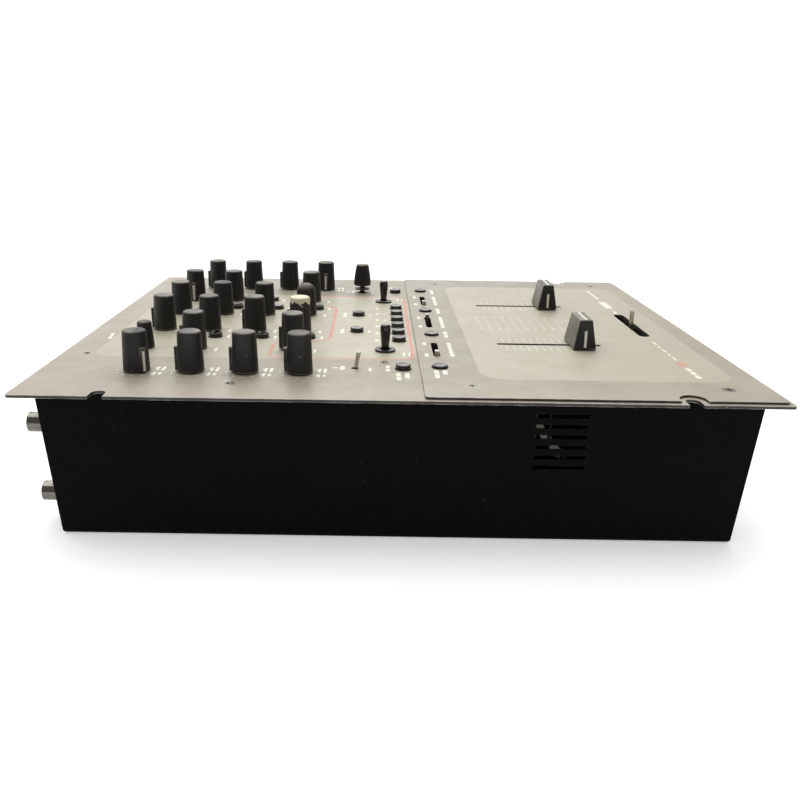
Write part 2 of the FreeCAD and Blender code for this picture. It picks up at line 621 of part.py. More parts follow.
# ---------------------------------------------------------------- curve sliders
slider_lever = box("slider_lever", "dims.slider_width", "dims.slider_depth",
                   "dims.slider_foot + dims.plate_thickness + dims.slider_height",
                   z="-dims.slider_foot")
for node, x, end in SLIDERS:
    node_from(node, [slider_lever], "%s + %d * dims.slider_travel / 2" % (x, end),
              "dims.slider_row", PANEL_TOP)

# ---------------------------------------------------------------- faders
cap = fader_cap("line_cap")
line_lever = box("line_lever", "dims.lever_thickness", "dims.lever_width",
                 "dims.plate_thickness + dims.cap_gap + dims.cap_height / 2 - " + CARRIAGE_TOP,
                 z=CARRIAGE_TOP)
line_carriage = carriage("line_carriage", "Y")
for side, sign in SIDES:
    node_from(side + "_line_fader", [cap, line_lever, line_carriage],
              column_x(sign, "fader_column"), "dims.fader_row + dims.line_fader_rest", PANEL_TOP)

cross_tab = box("cross_tab", "dims.lever_width", "dims.lever_thickness",
                "dims.plate_thickness + dims.lever_height - " + CARRIAGE_TOP, z=CARRIAGE_TOP)
cross_eye = slot("cross_eye", "dims.lever_height - 2 * dims.eye_margin", "dims.lever_eye",
                 "dims.lever_width", "0", "0", "0", along="Y")
turn(cross_eye, FreeCAD.Vector(1, 0, 0), 90)
put(cross_eye, "0", "dims.lever_width / 2",
    "dims.plate_thickness + dims.lever_height / 2 + dims.eye_lift")
cross_lever = cut("cross_lever", cross_tab, [cross_eye])
node_from("crossfader_lever", [cross_lever, carriage("cross_carriage", "X")],
          "0", "dims.crossfader_row", PANEL_TOP)


# ---------------------------------------------------------------- panel screws
def countersink(name, spare, x, y, z, depth):
    """A screw hole with a countersink; spare is the room round the screw."""
    cone = doc.addObject("Part::Cone", name + "_cone")
    bind(cone, Radius1="dims.screw_radius + %s" % spare, Height="dims.screw_head",
         Radius2="dims.screw_head_radius + %s" % spare)
    put(cone, x, y, "%s - dims.screw_head" % z)
    hole = rod(name + "_hole", "dims.screw_radius + %s" % spare, depth, x, y,
               "%s - (%s)" % (z, depth))
    return joined(name, [cone, hole])


blank = countersink("screw_blank", "0", "0", "0", "0", "dims.screw_length")
ARMS = (("dims.cross_length", "dims.cross_width"), ("dims.cross_width", "dims.cross_length"))
cross = [box("cross_%d" % index, length, width, "2 * dims.screw_recess", z="-dims.screw_recess")
         for index, (length, width) in enumerate(ARMS, start=1)]
screw = cut("screw", blank, [joined("screw_cross", cross)])
PLATE_SCREWS = [(column_x(sign, "plate_screw_column"), "dims." + place)
                for side, sign in SIDES for place in ("plate_screw_back", "plate_screw_front")]
PANEL_SCREWS = [(column_x(sign, column), "dims." + place) for side, sign in SIDES
                for column, place in (("rear_screw_column", "rear_screw_row"),
                                      ("side_screw_column", "side_screw_row"),
                                      ("post_column", "post_row"))]
PLATE_TOP = "(dims.panel_top + dims.plate_thickness)"
screw_places = [(x, y, PLATE_TOP) for x, y in PLATE_SCREWS]
screw_places += [(x, y, PANEL_TOP) for x, y in PANEL_SCREWS]
finish("panel_screws", group("node_panel_screws", copies("screw_copy", [screw], screw_places)))


# ---------------------------------------------------------------- sheets and their holes
def sheet_body(name, width, depth, y, bottom, thickness, corner):
    """A flat sheet with rounded corners."""
    body = doc.addObject("PartDesign::Body", name)
    loop = sketch_in(body, name + "_outline", "XY_Plane", [rectangle(width, depth, "0", y)], bottom)
    pad(body, name + "_sheet", loop, thickness)
    round_edges(body, name + "_corners", corner,
                lambda edge: edge.BoundBox.ZLength > 0.5 * number(thickness))
    return body


def notches(name, spare, places, z, height):
    """Round-ended notches in from both side edges."""
    width = "(dims.notch_width + 2 * %s)" % spare
    length = "(2 * (dims.notch_depth + %s))" % spare
    return [slot("%s_%s_%d" % (name, side, index), length, width, height,
                 "(%d * %s)" % (sign, HALF_WIDTH), y, z)
            for side, sign in SIDES for index, y in enumerate(places, start=1)]


def hole(name, radius, x, y, z, height):
    return rod(name, "%s + dims.hole_gap" % radius, height, x, y, z)


SHEET_LOW = "(%s - %g)" % (TRAY_TOP, THROUGH)
SHEET_CUT = "(dims.sheet_thickness + dims.plate_thickness + %g)" % (2 * THROUGH)


def front_holes(name):
    """Cutters that go through both the fader plate and the panel."""
    tools = [hole("%s_%s" % (name, node), "dims.flush_radius", x, y, SHEET_LOW, SHEET_CUT)
             for node, x, y in FLUSH_BUTTONS]
    for node, x, end in SLIDERS:
        tools.append(slot("%s_%s" % (name, node), SLIDER_SLOT_LENGTH, "dims.slider_slot", SHEET_CUT,
                          x, "dims.slider_row", SHEET_LOW))
    for side, sign in SIDES:
        tools.append(slot("%s_%s_line" % (name, side), SLOT_LENGTH, "dims.slot_width", SHEET_CUT,
                          column_x(sign, "fader_column"), "dims.fader_row", SHEET_LOW, along="Y"))
    tools.append(slot(name + "_cross", SLOT_LENGTH, "dims.cross_slot_width", SHEET_CUT,
                      "0", "dims.crossfader_row", SHEET_LOW))
    return tools


def rear_holes(name):
    """Cutters that go through the rear half of the panel."""
    tools = [hole("%s_%s" % (name, node), "dims.shaft_radius", x, y, SHEET_LOW, SHEET_CUT)
             for node, x, y in KNOBS + [SLIM_KNOB]]
    tools += [hole("%s_%s" % (name, node), "dims.button_radius", x, y, SHEET_LOW, SHEET_CUT)
              for node, x, y in BUTTONS]
    neck = "dims.paddle_foot_radius + dims.toggle_swing + dims.housing_wall"
    tools += [hole("%s_%s" % (name, node), neck, x, "dims.paddle_row", SHEET_LOW, SHEET_CUT)
              for node, x in PADDLES]
    for side, sign in SIDES:
        foot = "dims.bat_foot_radius" if sign < 0 else "dims.bell_stem_radius"
        tools.append(rod("%s_%s_toggle" % (name, side), foot + " + dims.toggle_swing", SHEET_CUT,
                         column_x(sign, "edge_column"), "dims.toggle_row", SHEET_LOW))
    return tools


panel_blank = sheet_body("panel_blank", "dims.panel_width", "dims.panel_depth", "0", TRAY_TOP,
                         "dims.sheet_thickness", "dims.panel_corner")
NOTCHES = ("dims.notch_back", "-dims.notch_front")
panel_tools = notches("panel_notch", "0", NOTCHES, SHEET_LOW, SHEET_CUT)
panel_tools += front_holes("panel_front") + rear_holes("panel_rear")
panel_tools += [countersink("panel_sink_%d" % index, "dims.screw_gap", x, y, PANEL_TOP,
                            "dims.screw_length") for index, (x, y) in enumerate(PANEL_SCREWS, start=1)]
panel_tools += [rod("panel_pass_%d" % index, "dims.screw_radius + dims.screw_gap", SHEET_CUT,
                    x, y, SHEET_LOW) for index, (x, y) in enumerate(PLATE_SCREWS, start=1)]
finish("top_panel", cut("node_top_panel", panel_blank, panel_tools))

PLATE_DEPTH = "(dims.plate_back - %s)" % PLATE_FRONT
PLATE_MIDDLE = "((dims.plate_back + %s) / 2)" % PLATE_FRONT
plate_blank = sheet_body("plate_blank", "dims.panel_width - 2 * dims.plate_inset", PLATE_DEPTH,
                         PLATE_MIDDLE, PANEL_TOP, "dims.plate_thickness", "dims.panel_corner")
plate_tools = notches("plate_notch", "dims.notch_margin", NOTCHES[1:], SHEET_LOW, SHEET_CUT)
plate_tools += front_holes("plate_front")
plate_tools += [countersink("plate_sink_%d" % index, "dims.screw_gap", x, y, PLATE_TOP,
                            "dims.screw_length") for index, (x, y) in enumerate(PLATE_SCREWS, start=1)]
finish("fader_plate", cut("node_fader_plate", plate_blank, plate_tools))

# ---------------------------------------------------------------- chassis tray
tray = doc.addObject("PartDesign::Body", "tray")
end_view = sketch_in(tray, "tray_end_view", "YZ_Plane",
                     [[("-dims.base_half_depth", "0"), ("dims.base_half_depth", "0"),
                       ("dims.rim_half_depth", TRAY_TOP), ("-dims.rim_half_depth", TRAY_TOP)]])
pad(tray, "tray_outside", end_view, "dims.body_width", midplane=True)
round_edges(tray, "tray_bends", "dims.bend_radius", lambda edge: edge.BoundBox.ZMax < 1e-4)
inner_base = "(dims.base_half_depth - dims.wall_thickness)"
inner_rim = "(dims.rim_half_depth - dims.wall_thickness)"
hollow_view = sketch_in(tray, "tray_hollow_view", "YZ_Plane",
                        [[("-" + inner_base, "dims.wall_thickness"), (inner_base, "dims.wall_thickness"),
                          (inner_rim, TRAY_TOP), ("-" + inner_rim, TRAY_TOP)]])
hollow = tray.newObject("PartDesign::Pocket", "tray_hollow")
hollow.Profile = hollow_view
hollow.Midplane = True
bind(hollow, Length="dims.body_width - 2 * dims.wall_thickness")
rim_width = "(dims.body_width - dims.wall_thickness)"
rim_depth = "(2 * dims.rim_half_depth - dims.wall_thickness)"
rim_view = sketch_in(tray, "tray_rim_view", "XY_Plane",
                     [rectangle(rim_width, rim_depth),
                      rectangle(rim_width + " - 2 * dims.flange_width",
                                rim_depth + " - 2 * dims.flange_width")],
                     TRAY_TOP + " - dims.wall_thickness")
pad(tray, "tray_rim", rim_view, "dims.wall_thickness")

vents = [box("vent_%d" % (index + 1), "dims.body_width + %g" % THROUGH, "dims.vent_length",
             "dims.vent_height", "0", "dims.vent_centre",
             "dims.panel_top - dims.vent_drop - %d * dims.vent_pitch - dims.vent_height / 2" % index)
         for index in range(6)]
flange_holes = [rod("flange_hole_%d" % index, "dims.screw_radius + dims.screw_gap", SHEET_CUT,
                    x, y, SHEET_LOW)
                for index, (x, y) in enumerate(PLATE_SCREWS + PANEL_SCREWS, start=1)]
JACKS = []
for pair in range(3):
    for half in range(2):
        for row in ("jack_upper", "jack_lower"):
            x = "(dims.jack_first + %d * dims.jack_pair_pitch + %d * dims.jack_pitch)" % (pair, half)
            JACKS.append((x, "dims." + row))


def wall_hole(name, radius, x, z, front=False):
    """A cutter through the rear wall, or the front one."""
    start = "(%s - %g)" % (wall_y(z), THROUGH)
    length = "%g" % (2 * THROUGH)
    y = "-" + start if front else start
    return rod_y(name, "%s + dims.hole_gap" % radius, length, x, y, z, backwards=front)


wall_holes = [wall_hole("jack_hole_%d" % index, "dims.jack_radius", x, z)
              for index, (x, z) in enumerate(JACKS, start=1)]
wall_holes.append(wall_hole("microphone_hole", "dims.socket_barrel_radius",
                            "dims.microphone_place", "dims.socket_height"))
wall_holes.append(wall_hole("headphone_hole", "dims.socket_barrel_radius",
                            "dims.headphone_place", "dims.socket_height", front=True))
wall_holes.append(wall_hole("ground_hole", "dims.stud_radius + dims.stud_gap", "dims.post_place",
                            "dims.ground_height"))
wall_holes.append(box("inlet_hole", "dims.inlet_side + 2 * dims.hole_gap", "%g" % (2 * THROUGH),
                      "dims.inlet_side + 2 * dims.hole_gap", "dims.inlet_place",
                      wall_y("dims.inlet_height"),
                      "dims.inlet_height - dims.inlet_side / 2 - dims.hole_gap"))
finish("chassis_tray", cut("node_chassis_tray", tray, vents + flange_holes + wall_holes))

# ---------------------------------------------------------------- connectors
JACK_BOARD = "(dims.base_half_depth - dims.jack_board_inset)"     # its outer face
connectors = []
for index, (x, z) in enumerate(JACKS, start=1):
    shoulder = "(%s + dims.collar_gap)" % wall_y(z)
    barrel_foot = "(%s + dims.jack_collar)" % shoulder
    end = "(%s + dims.jack_length)" % barrel_foot
    pieces = [rod_y("jack_neck_%d" % index, "dims.jack_radius - dims.neck_step",
                    "%s - %s" % (shoulder, JACK_BOARD), x, JACK_BOARD, z),
              rod_y("jack_collar_%d" % index, "dims.jack_collar_radius", "dims.jack_collar",
                    x, shoulder, z),
              rod_y("jack_barrel_%d" % index, "dims.jack_radius", "dims.jack_length",
                    x, barrel_foot, z)]
    bore = rod_y("jack_bore_%d" % index, "dims.jack_bore_radius", "dims.jack_bore_depth + 1",
                 x, "%s - dims.jack_bore_depth" % end, z)
    connectors.append(cut("jack_%d" % index, joined("jack_solid_%d" % index, pieces), [bore]))


def quarter_inch_socket(name, x, z, front):
    """A quarter-inch socket: a threaded barrel with a nut outside the wall."""
    flip = "-" if front else ""
    end = "(%s + dims.socket_reach)" % wall_y(z)
    root = "(%s - dims.socket_depth - dims.socket_floor)" % end
    nut = "(dims.socket_reach - dims.socket_nut_gap - dims.socket_lip)"
    parts = [rod_y(name + "_barrel", "dims.socket_barrel_radius", "%s - %s" % (end, root), x,
                   flip + root, z, backwards=front),
             rod_y(name + "_nut", "dims.socket_barrel_radius + dims.socket_nut_margin", nut, x,
                   "%s(%s + dims.socket_nut_gap)" % (flip, wall_y(z)), z, backwards=front)]
    bore = rod_y(name + "_bore", "dims.socket_radius", "dims.socket_depth + 1", x,
                 "%s(%s - dims.socket_depth)" % (flip, end), z, backwards=front)
    return cut(name, joined(name + "_solid", parts), [bore])


connectors.append(quarter_inch_socket("microphone_socket", "dims.microphone_place",
                                      "dims.socket_height", False))
connectors.append(quarter_inch_socket("headphone_socket", "dims.headphone_place",
                                      "dims.socket_height", True))
INLET_MOUTH = "(%s + dims.inlet_reach)" % wall_y("dims.inlet_height")
inlet_block = box("inlet_block", "dims.inlet_side", "dims.inlet_depth", "dims.inlet_side",
                  "dims.inlet_place", INLET_MOUTH + " - dims.inlet_depth / 2",
                  "dims.inlet_height - dims.inlet_side / 2")
inlet_bore = rod_y("inlet_bore", "dims.inlet_bore_radius", "dims.inlet_depth", "dims.inlet_place",
                   INLET_MOUTH + " - dims.inlet_bore_depth", "dims.inlet_height")
PIN_LENGTH = "(dims.inlet_floor + dims.inlet_bore_depth - dims.inlet_pin_drop)"
inlet_pin = rod_y("inlet_pin", "dims.inlet_pin_radius", PIN_LENGTH, "dims.inlet_place",
                  INLET_MOUTH + " - dims.inlet_bore_depth - dims.inlet_floor", "dims.inlet_height")
connectors.append(joined("power_inlet", [cut("inlet_shell", inlet_block, [inlet_bore]), inlet_pin]))
GROUND_WALL = wall_y("dims.ground_height")
ground_stud = rod_y("ground_stud", "dims.stud_radius", "dims.stud_length", "dims.post_place",
                    GROUND_WALL + " + dims.stud_reach - dims.stud_length", "dims.ground_height")
ground_nut = rod_y("ground_nut", "dims.stud_nut_radius", "dims.stud_nut_height", "dims.post_place",
                   GROUND_WALL + " + dims.stud_nut_gap", "dims.ground_height")
connectors.append(joined("ground_post", [ground_stud, ground_nut]))
finish("connectors", group("node_connectors", connectors))

# ---------------------------------------------------------------- circuit boards
MAIN_FRONT = "(dims.slider_row - dims.board_margin)"
MAIN_BACK = "(dims.inner_row_back + dims.board_margin)"
POST_LENGTH = "(%s - %s)" % (TRAY_TOP, BOARD_TOP)
board_parts = [box("main_board", "2 * (dims.outer_column + dims.board_overhang)",
                   "%s - %s" % (MAIN_BACK, MAIN_FRONT), "dims.board_thickness",
                   "0", "((%s + %s) / 2)" % (MAIN_BACK, MAIN_FRONT), BOARD_UNDER)]
for side, sign in SIDES:
    place = (column_x(sign, "post_column"), "dims.post_row")
    post = rod(side + "_post", "dims.post_radius", POST_LENGTH, place[0], place[1], BOARD_TOP)
    post_bore = rod(side + "_post_bore", "dims.screw_radius + dims.post_bore_gap", POST_LENGTH,
                    place[0], place[1], BOARD_TOP + " + dims.post_floor")
    board_parts.append(cut(side + "_board_post", post, [post_bore]))
JACK_SPAN = "(2 * dims.jack_pair_pitch + dims.jack_pitch)"
board_parts.append(box("jack_board", JACK_SPAN + " + 2 * dims.jack_board_margin",
                       "dims.board_thickness",
                       "dims.jack_upper - dims.jack_lower + 2 * dims.jack_board_margin",
                       "(dims.jack_first + %s / 2)" % JACK_SPAN,
                       JACK_BOARD + " - dims.board_thickness / 2",
                       "dims.jack_lower - dims.jack_board_margin"))
SUPPLY_TOP = "(dims.supply_lift + dims.board_thickness)"
board_parts.append(box("supply_board", "dims.supply_width", "dims.supply_depth",
                       "dims.board_thickness", "dims.supply_place", "dims.vent_centre",
                       "dims.supply_lift"))
board_parts.append(box("supply_screen", "dims.screen_side", "dims.screen_side",
                       "dims.screen_height", "dims.supply_place", "dims.vent_centre", SUPPLY_TOP))
inset = "%s + %d * (%s / 2 - dims.supply_post_inset)"
for index, (i, j) in enumerate(((-1, -1), (1, -1), (1, 1), (-1, 1)), start=1):
    board_parts.append(rod("supply_post_%d" % index, "dims.post_radius",
                           "dims.supply_lift - dims.wall_thickness",
                           inset % ("dims.supply_place", i, "dims.supply_width"),
                           inset % ("dims.vent_centre", j, "dims.supply_depth"),
                           "dims.wall_thickness"))
finish("circuit_boards", group("node_circuit_boards", board_parts))

# ---------------------------------------------------------------- bodies of the controls
UNDER_PANEL = "(-dims.sheet_thickness - dims.under_gap)"
BUSHING_FOOT = "(dims.pot_height - dims.board_drop)"
pot_solid = joined("pot_solid", [
    box("pot_can", "dims.pot_side", "dims.pot_side", "dims.pot_height", z="-dims.board_drop"),
    rod("pot_bushing", "dims.bushing_radius", "%s - %s" % (UNDER_PANEL, BUSHING_FOOT),
        z=BUSHING_FOOT)])
pot = cut("pot", pot_solid, [rod("pot_bore", "dims.shaft_radius + dims.shaft_gap", "dims.board_drop",
                                 z="dims.shaft_foot - dims.shaft_play - dims.board_drop")])
tact = box("tact_switch", "dims.switch_side", "dims.switch_side", "dims.switch_height",
           z="-dims.board_drop")


def toggle_body(name, foot_radius, neck_top, flange):
    """A toggle switch below the panel, with a neck round its lever."""
    bore = "(%s + dims.toggle_swing)" % foot_radius
    parts = [box(name + "_case", "dims.case_width", "dims.case_depth",
                 "dims.board_drop - dims.case_drop", z="-dims.board_drop"),
             rod(name + "_neck", bore + " + dims.housing_wall", "dims.case_drop + " + neck_top,
                 z="-dims.case_drop")]
    if flange:
        parts.append(rod(name + "_flange", "dims.paddle_flange_radius", "dims.paddle_flange", z="0"))
    return cut(name, joined(name + "_solid", parts),
               [rod(name + "_bore", bore, "dims.board_drop", z=LEVER_FOOT + " - dims.case_play")])


paddle_switch = toggle_body("paddle_switch", "dims.paddle_foot_radius", "dims.paddle_flange", True)
bat_switch = toggle_body("bat_switch", "dims.bat_foot_radius", UNDER_PANEL, False)
bell_switch = toggle_body("bell_switch", "dims.bell_stem_radius", UNDER_PANEL, False)


def trough(name, length, width, height, room_length, room_width, top, along):
    """A long housing, open at the top, in which a carriage or a lever slides."""
    outer, inner = [length, width], [room_length, room_width]
    if along == "Y":
        outer.reverse()
        inner.reverse()
    shell = box(name + "_shell", outer[0], outer[1], height, z="%s - (%s)" % (top, height))
    room = box(name + "_room", inner[0], inner[1], height,
               z="%s - (%s) + dims.housing_wall" % (top, height))
    return cut(name, shell, [room])


CARRIAGE_RUN = "(dims.fader_travel + dims.carriage_length + 2 * dims.carriage_room)"
CARRIAGE_BAY = "(dims.carriage_width + 2 * dims.carriage_room)"
FADER_LENGTH = CARRIAGE_RUN + " + 2 * dims.housing_wall"
FADER_WIDTH = CARRIAGE_BAY + " + 2 * dims.housing_wall"
line_housing = trough("line_housing", FADER_LENGTH, FADER_WIDTH, "dims.housing_height", CARRIAGE_RUN,
                      CARRIAGE_BAY, "-dims.sheet_thickness", "Y")
cross_housing = trough("cross_housing", FADER_LENGTH, FADER_WIDTH, "dims.housing_height", CARRIAGE_RUN,
                       CARRIAGE_BAY, "-dims.sheet_thickness", "X")
slider_housing = trough("slider_housing", SLIDER_SLOT_LENGTH + " + 2 * dims.housing_wall",
                        "dims.slider_slot + 2 * dims.housing_wall",
                        "dims.board_drop + " + UNDER_PANEL, SLIDER_SLOT_LENGTH,
                        "dims.slider_slot", UNDER_PANEL, "X")
control_bodies = copies("pot_copy", [pot], [(x, y, PANEL_TOP) for node, x, y in KNOBS + [SLIM_KNOB]])
control_bodies += copies("tact_copy", [tact],
                         [(x, y, PANEL_TOP) for node, x, y in BUTTONS + FLUSH_BUTTONS])
control_bodies += copies("paddle_switch_copy", [paddle_switch],
                         [(x, "dims.paddle_row", PANEL_TOP) for node, x in PADDLES])
control_bodies += copies("bat_switch_copy", [bat_switch],
                         [(column_x(-1, "edge_column"), "dims.toggle_row", PANEL_TOP)])
control_bodies += copies("bell_switch_copy", [bell_switch],
                         [(column_x(1, "edge_column"), "dims.toggle_row", PANEL_TOP)])
control_bodies += copies("line_housing_copy", [line_housing],
                         [(column_x(sign, "fader_column"), "dims.fader_row", PANEL_TOP)
                          for side, sign in SIDES])
control_bodies += copies("cross_housing_copy", [cross_housing],
                         [("0", "dims.crossfader_row", PANEL_TOP)])
control_bodies += copies("slider_housing_copy", [slider_housing],
                         [(x, "dims.slider_row", PANEL_TOP) for node, x, end in SLIDERS])
finish("control_bodies", group("node_control_bodies", control_bodies))

# ---------------------------------------------------------------- check and write
doc.recompute()
for item in doc.Objects:
    if "Invalid" in item.State or "Error" in item.State:
        raise SystemExit("%s failed: %s" % (item.Label, item.State))
for node, item in nodes.items():
    if item.Shape.isNull() or not item.Shape.isValid():
        raise SystemExit(node + " has no valid shape")
    if not item.Shape.Solids:
        raise SystemExit(node + " has no solid")
os.makedirs("parts", exist_ok=True)
for node, item in nodes.items():
    item.Shape.exportStep("parts/%s.step" % node)
print("%d sub-parts written" % len(nodes))
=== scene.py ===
# %% [markdown]
# # Finishing a small DJ mixer
#
# The sheet metal, knobs, buttons, toggles and faders of this mixer already exist as exact solids, and
# each moving one knows how it moves. Here they are given paint, plastic, print and wear, and the
# pieces that are better made as meshes: printed marks, white pointer lines, felt dust strips that also paint shade
# in the fader slots, connectors.
# Everything is in metres, in the frame of the solids: +X to the DJ's right, -Y to the DJ, +Z up.

# %% Load the frame
import json
import math

import bmesh
import bpy
from mathutils import Matrix, Vector


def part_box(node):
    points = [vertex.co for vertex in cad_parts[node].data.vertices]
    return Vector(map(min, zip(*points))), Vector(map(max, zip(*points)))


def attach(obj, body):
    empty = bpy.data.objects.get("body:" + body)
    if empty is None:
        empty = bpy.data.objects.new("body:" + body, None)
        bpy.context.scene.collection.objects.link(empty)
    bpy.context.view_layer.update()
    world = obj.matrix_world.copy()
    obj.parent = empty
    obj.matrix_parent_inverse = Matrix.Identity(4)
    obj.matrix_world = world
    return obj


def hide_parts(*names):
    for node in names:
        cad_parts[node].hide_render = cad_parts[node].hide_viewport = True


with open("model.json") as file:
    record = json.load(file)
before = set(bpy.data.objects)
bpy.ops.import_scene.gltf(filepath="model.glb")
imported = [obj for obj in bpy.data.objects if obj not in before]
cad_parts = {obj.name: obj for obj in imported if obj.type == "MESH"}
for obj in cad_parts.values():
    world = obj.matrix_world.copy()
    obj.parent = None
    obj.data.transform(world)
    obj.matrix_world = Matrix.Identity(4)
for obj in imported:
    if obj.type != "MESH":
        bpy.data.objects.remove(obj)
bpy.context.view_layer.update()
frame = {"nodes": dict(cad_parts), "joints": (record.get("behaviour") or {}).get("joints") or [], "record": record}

# %% [markdown]
# Places come from the solids. Only a few levels are needed again and again: the upper faces of the
# panel and of the fader plate, and the middle of any control.

# %% Levels and places
MM = 0.001
CHASSIS = "chassis"
UP = Vector((0, 0, 1))
panel_low, panel_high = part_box("top_panel")
tray_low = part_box("chassis_tray")[0]
PANEL_TOP = panel_high.z
PLATE_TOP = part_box("fader_plate")[1].z
FADER_COLUMN = 43.5                    # line faders and their scales from the middle, in millimetres
KNOBS = sorted(name for name in frame["nodes"] if "_knob" in name)
POINTER_KNOBS = [name for name in KNOBS if "slim" not in name]
BUTTONS = sorted(name for name in frame["nodes"] if "button" in name)
pivots = {joint["child"]: Vector(joint["pos_m"]) for joint in frame["joints"] if joint.get("pos_m")}


def middle(node):
    """The middle of a solid's box."""
    low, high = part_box(node)
    return (low + high) / 2


print(len(KNOBS), "knobs and", len(BUTTONS), "buttons")

# %% [markdown]
# ## Node helpers
#
# A material is a small program, and it reads best when each step is one call. These helpers add one
# node, connect it and hand back its output, so that a finish can be written as a few lines.

# %% Node helpers
def colour(red, green, blue):
    """A screen colour, 0 to 255, as the linear light that a shader works in."""
    def linear(value):
        share = value / 255
        return share / 12.92 if share <= 0.04045 else ((share + 0.055) / 1.055) ** 2.4
    return (linear(red), linear(green), linear(blue), 1.0)


def feed(tree, socket, value):
    """Connect an output to a socket, or set the socket to a plain value."""
    if isinstance(value, bpy.types.NodeSocket):
        tree.links.new(value, socket)
    else:
        socket.default_value = value


def calc(tree, operation, first, second=0.0, clamp=False):
    """One sum on two outputs or numbers."""
    node = tree.nodes.new("ShaderNodeMath")
    node.operation = operation
    node.use_clamp = clamp
    feed(tree, node.inputs[0], first)
    feed(tree, node.inputs[1], second)
    return node.outputs[0]


def fade(tree, value, low, high, start=0.0, stop=1.0):
    """Start below low, stop above high, and a smooth change between them."""
    node = tree.nodes.new("ShaderNodeMapRange")
    node.interpolation_type = "SMOOTHSTEP"
    for name, number in (("From Min", low), ("From Max", high), ("To Min", start), ("To Max", stop)):
        node.inputs[name].default_value = number
    feed(tree, node.inputs["Value"], value)
    return node.outputs["Result"]


def blended(tree, factor, under, over):
    """One colour under another, mixed by a factor."""
    node = tree.nodes.new("ShaderNodeMix")
    node.data_type = "RGBA"
    feed(tree, node.inputs[0], factor)
    feed(tree, node.inputs[6], under)
    feed(tree, node.inputs[7], over)
    return node.outputs[2]


def noise(tree, scale, detail=3.0, rough=0.55, stretch=(1, 1, 1)):
    """Cloudy noise fixed to the object; scale is in cells for each metre."""
    where = tree.nodes.new("ShaderNodeTexCoord").outputs["Object"]
    mapping = tree.nodes.new("ShaderNodeMapping")
    mapping.inputs["Scale"].default_value = stretch
    tree.links.new(where, mapping.inputs["Vector"])
    node = tree.nodes.new("ShaderNodeTexNoise")
    node.inputs["Scale"].default_value = scale
    node.inputs["Detail"].default_value = detail
    node.inputs["Roughness"].default_value = rough
    tree.links.new(mapping.outputs["Vector"], node.inputs["Vector"])
    return node.outputs["Fac"]


def new_group(name, inputs, outputs):
    """A shader group with named number inputs and outputs."""
    tree = bpy.data.node_groups.new(name, "ShaderNodeTree")
    print("effect:", name, "gives", outputs)
    for label, value in inputs:
        socket = tree.interface.new_socket(name=label, in_out="INPUT", socket_type="NodeSocketFloat")
        socket.default_value = value
    for label in outputs:
        tree.interface.new_socket(name=label, in_out="OUTPUT", socket_type="NodeSocketFloat")
    return tree, tree.nodes.new("NodeGroupInput").outputs, tree.nodes.new("NodeGroupOutput").inputs


def use_group(tree, group, **values):
    """Place a group in a material, with its own values."""
    node = tree.nodes.new("ShaderNodeGroup")
    node.node_tree = group
    for label, value in values.items():
        node.inputs[label].default_value = value
    return node.outputs


# %% [markdown]
# ## Effects that several finishes share
#
# Used gear shows three things everywhere: paint rubbed off sharp edges, dust on what faces up, and
# the fine grain of its coating. Each is one group with its own numbers in each material. Edges are
# found by comparing the true normal with one that a Bevel node has rounded.

# %% Edge wear
edge_wear, given, result = new_group("edge_wear", [("Radius", 0.0006), ("Amount", 1.0)], ["Mask"])
rounded = edge_wear.nodes.new("ShaderNodeBevel")
rounded.samples = 6
edge_wear.links.new(given["Radius"], rounded.inputs["Radius"])
true_normal = edge_wear.nodes.new("ShaderNodeNewGeometry").outputs["Normal"]
agreement = edge_wear.nodes.new("ShaderNodeVectorMath")
agreement.operation = "DOT_PRODUCT"
edge_wear.links.new(rounded.outputs["Normal"], agreement.inputs[0])
edge_wear.links.new(true_normal, agreement.inputs[1])
sharp = fade(edge_wear, agreement.outputs["Value"], 0.80, 0.985, 1.0, 0.0)
patches = fade(edge_wear, noise(edge_wear, 160.0), 0.36, 0.60, 0.25, 1.0)
rubbed = calc(edge_wear, "MULTIPLY", sharp, patches)
edge_wear.links.new(calc(edge_wear, "MULTIPLY", rubbed, given["Amount"], clamp=True), result["Mask"])

# %% Dust
dust, given, result = new_group("dust", [("Film", 0.3), ("Specks", 0.5)], ["Film", "Specks"])
facing = dust.nodes.new("ShaderNodeSeparateXYZ")
dust.links.new(dust.nodes.new("ShaderNodeNewGeometry").outputs["Normal"], facing.inputs[0])
upward = fade(dust, facing.outputs["Z"], 0.15, 0.95)
cloud = fade(dust, noise(dust, 42.0, 5.0, 0.6), 0.34, 0.68)
film = calc(dust, "MULTIPLY", calc(dust, "MULTIPLY", upward, cloud), given["Film"], clamp=True)
dust.links.new(film, result["Film"])
grit = fade(dust, noise(dust, 900.0, 2.0, 0.5), 0.705, 0.76)
dust.links.new(calc(dust, "MULTIPLY", grit, given["Specks"], clamp=True), result["Specks"])

# %% Fine grain
grain, given, result = new_group("grain", [("Fine", 1.0), ("Coarse", 0.5)], ["Height", "Tone"])
fine = noise(grain, 2600.0, 2.0, 0.6)
coarse = noise(grain, 700.0, 4.0, 0.6)
summed = calc(grain, "ADD", calc(grain, "MULTIPLY", fine, given["Fine"]),
              calc(grain, "MULTIPLY", coarse, given["Coarse"]))
grain.links.new(summed, result["Height"])
grain.links.new(fade(grain, fine, 0.35, 0.65), result["Tone"])

# %% [markdown]
# The panel has large printed fields of a lighter grey with round corners. Their outline is the
# distance to a rounded rectangle, which a few sums give, so the edge stays crisp at any size.

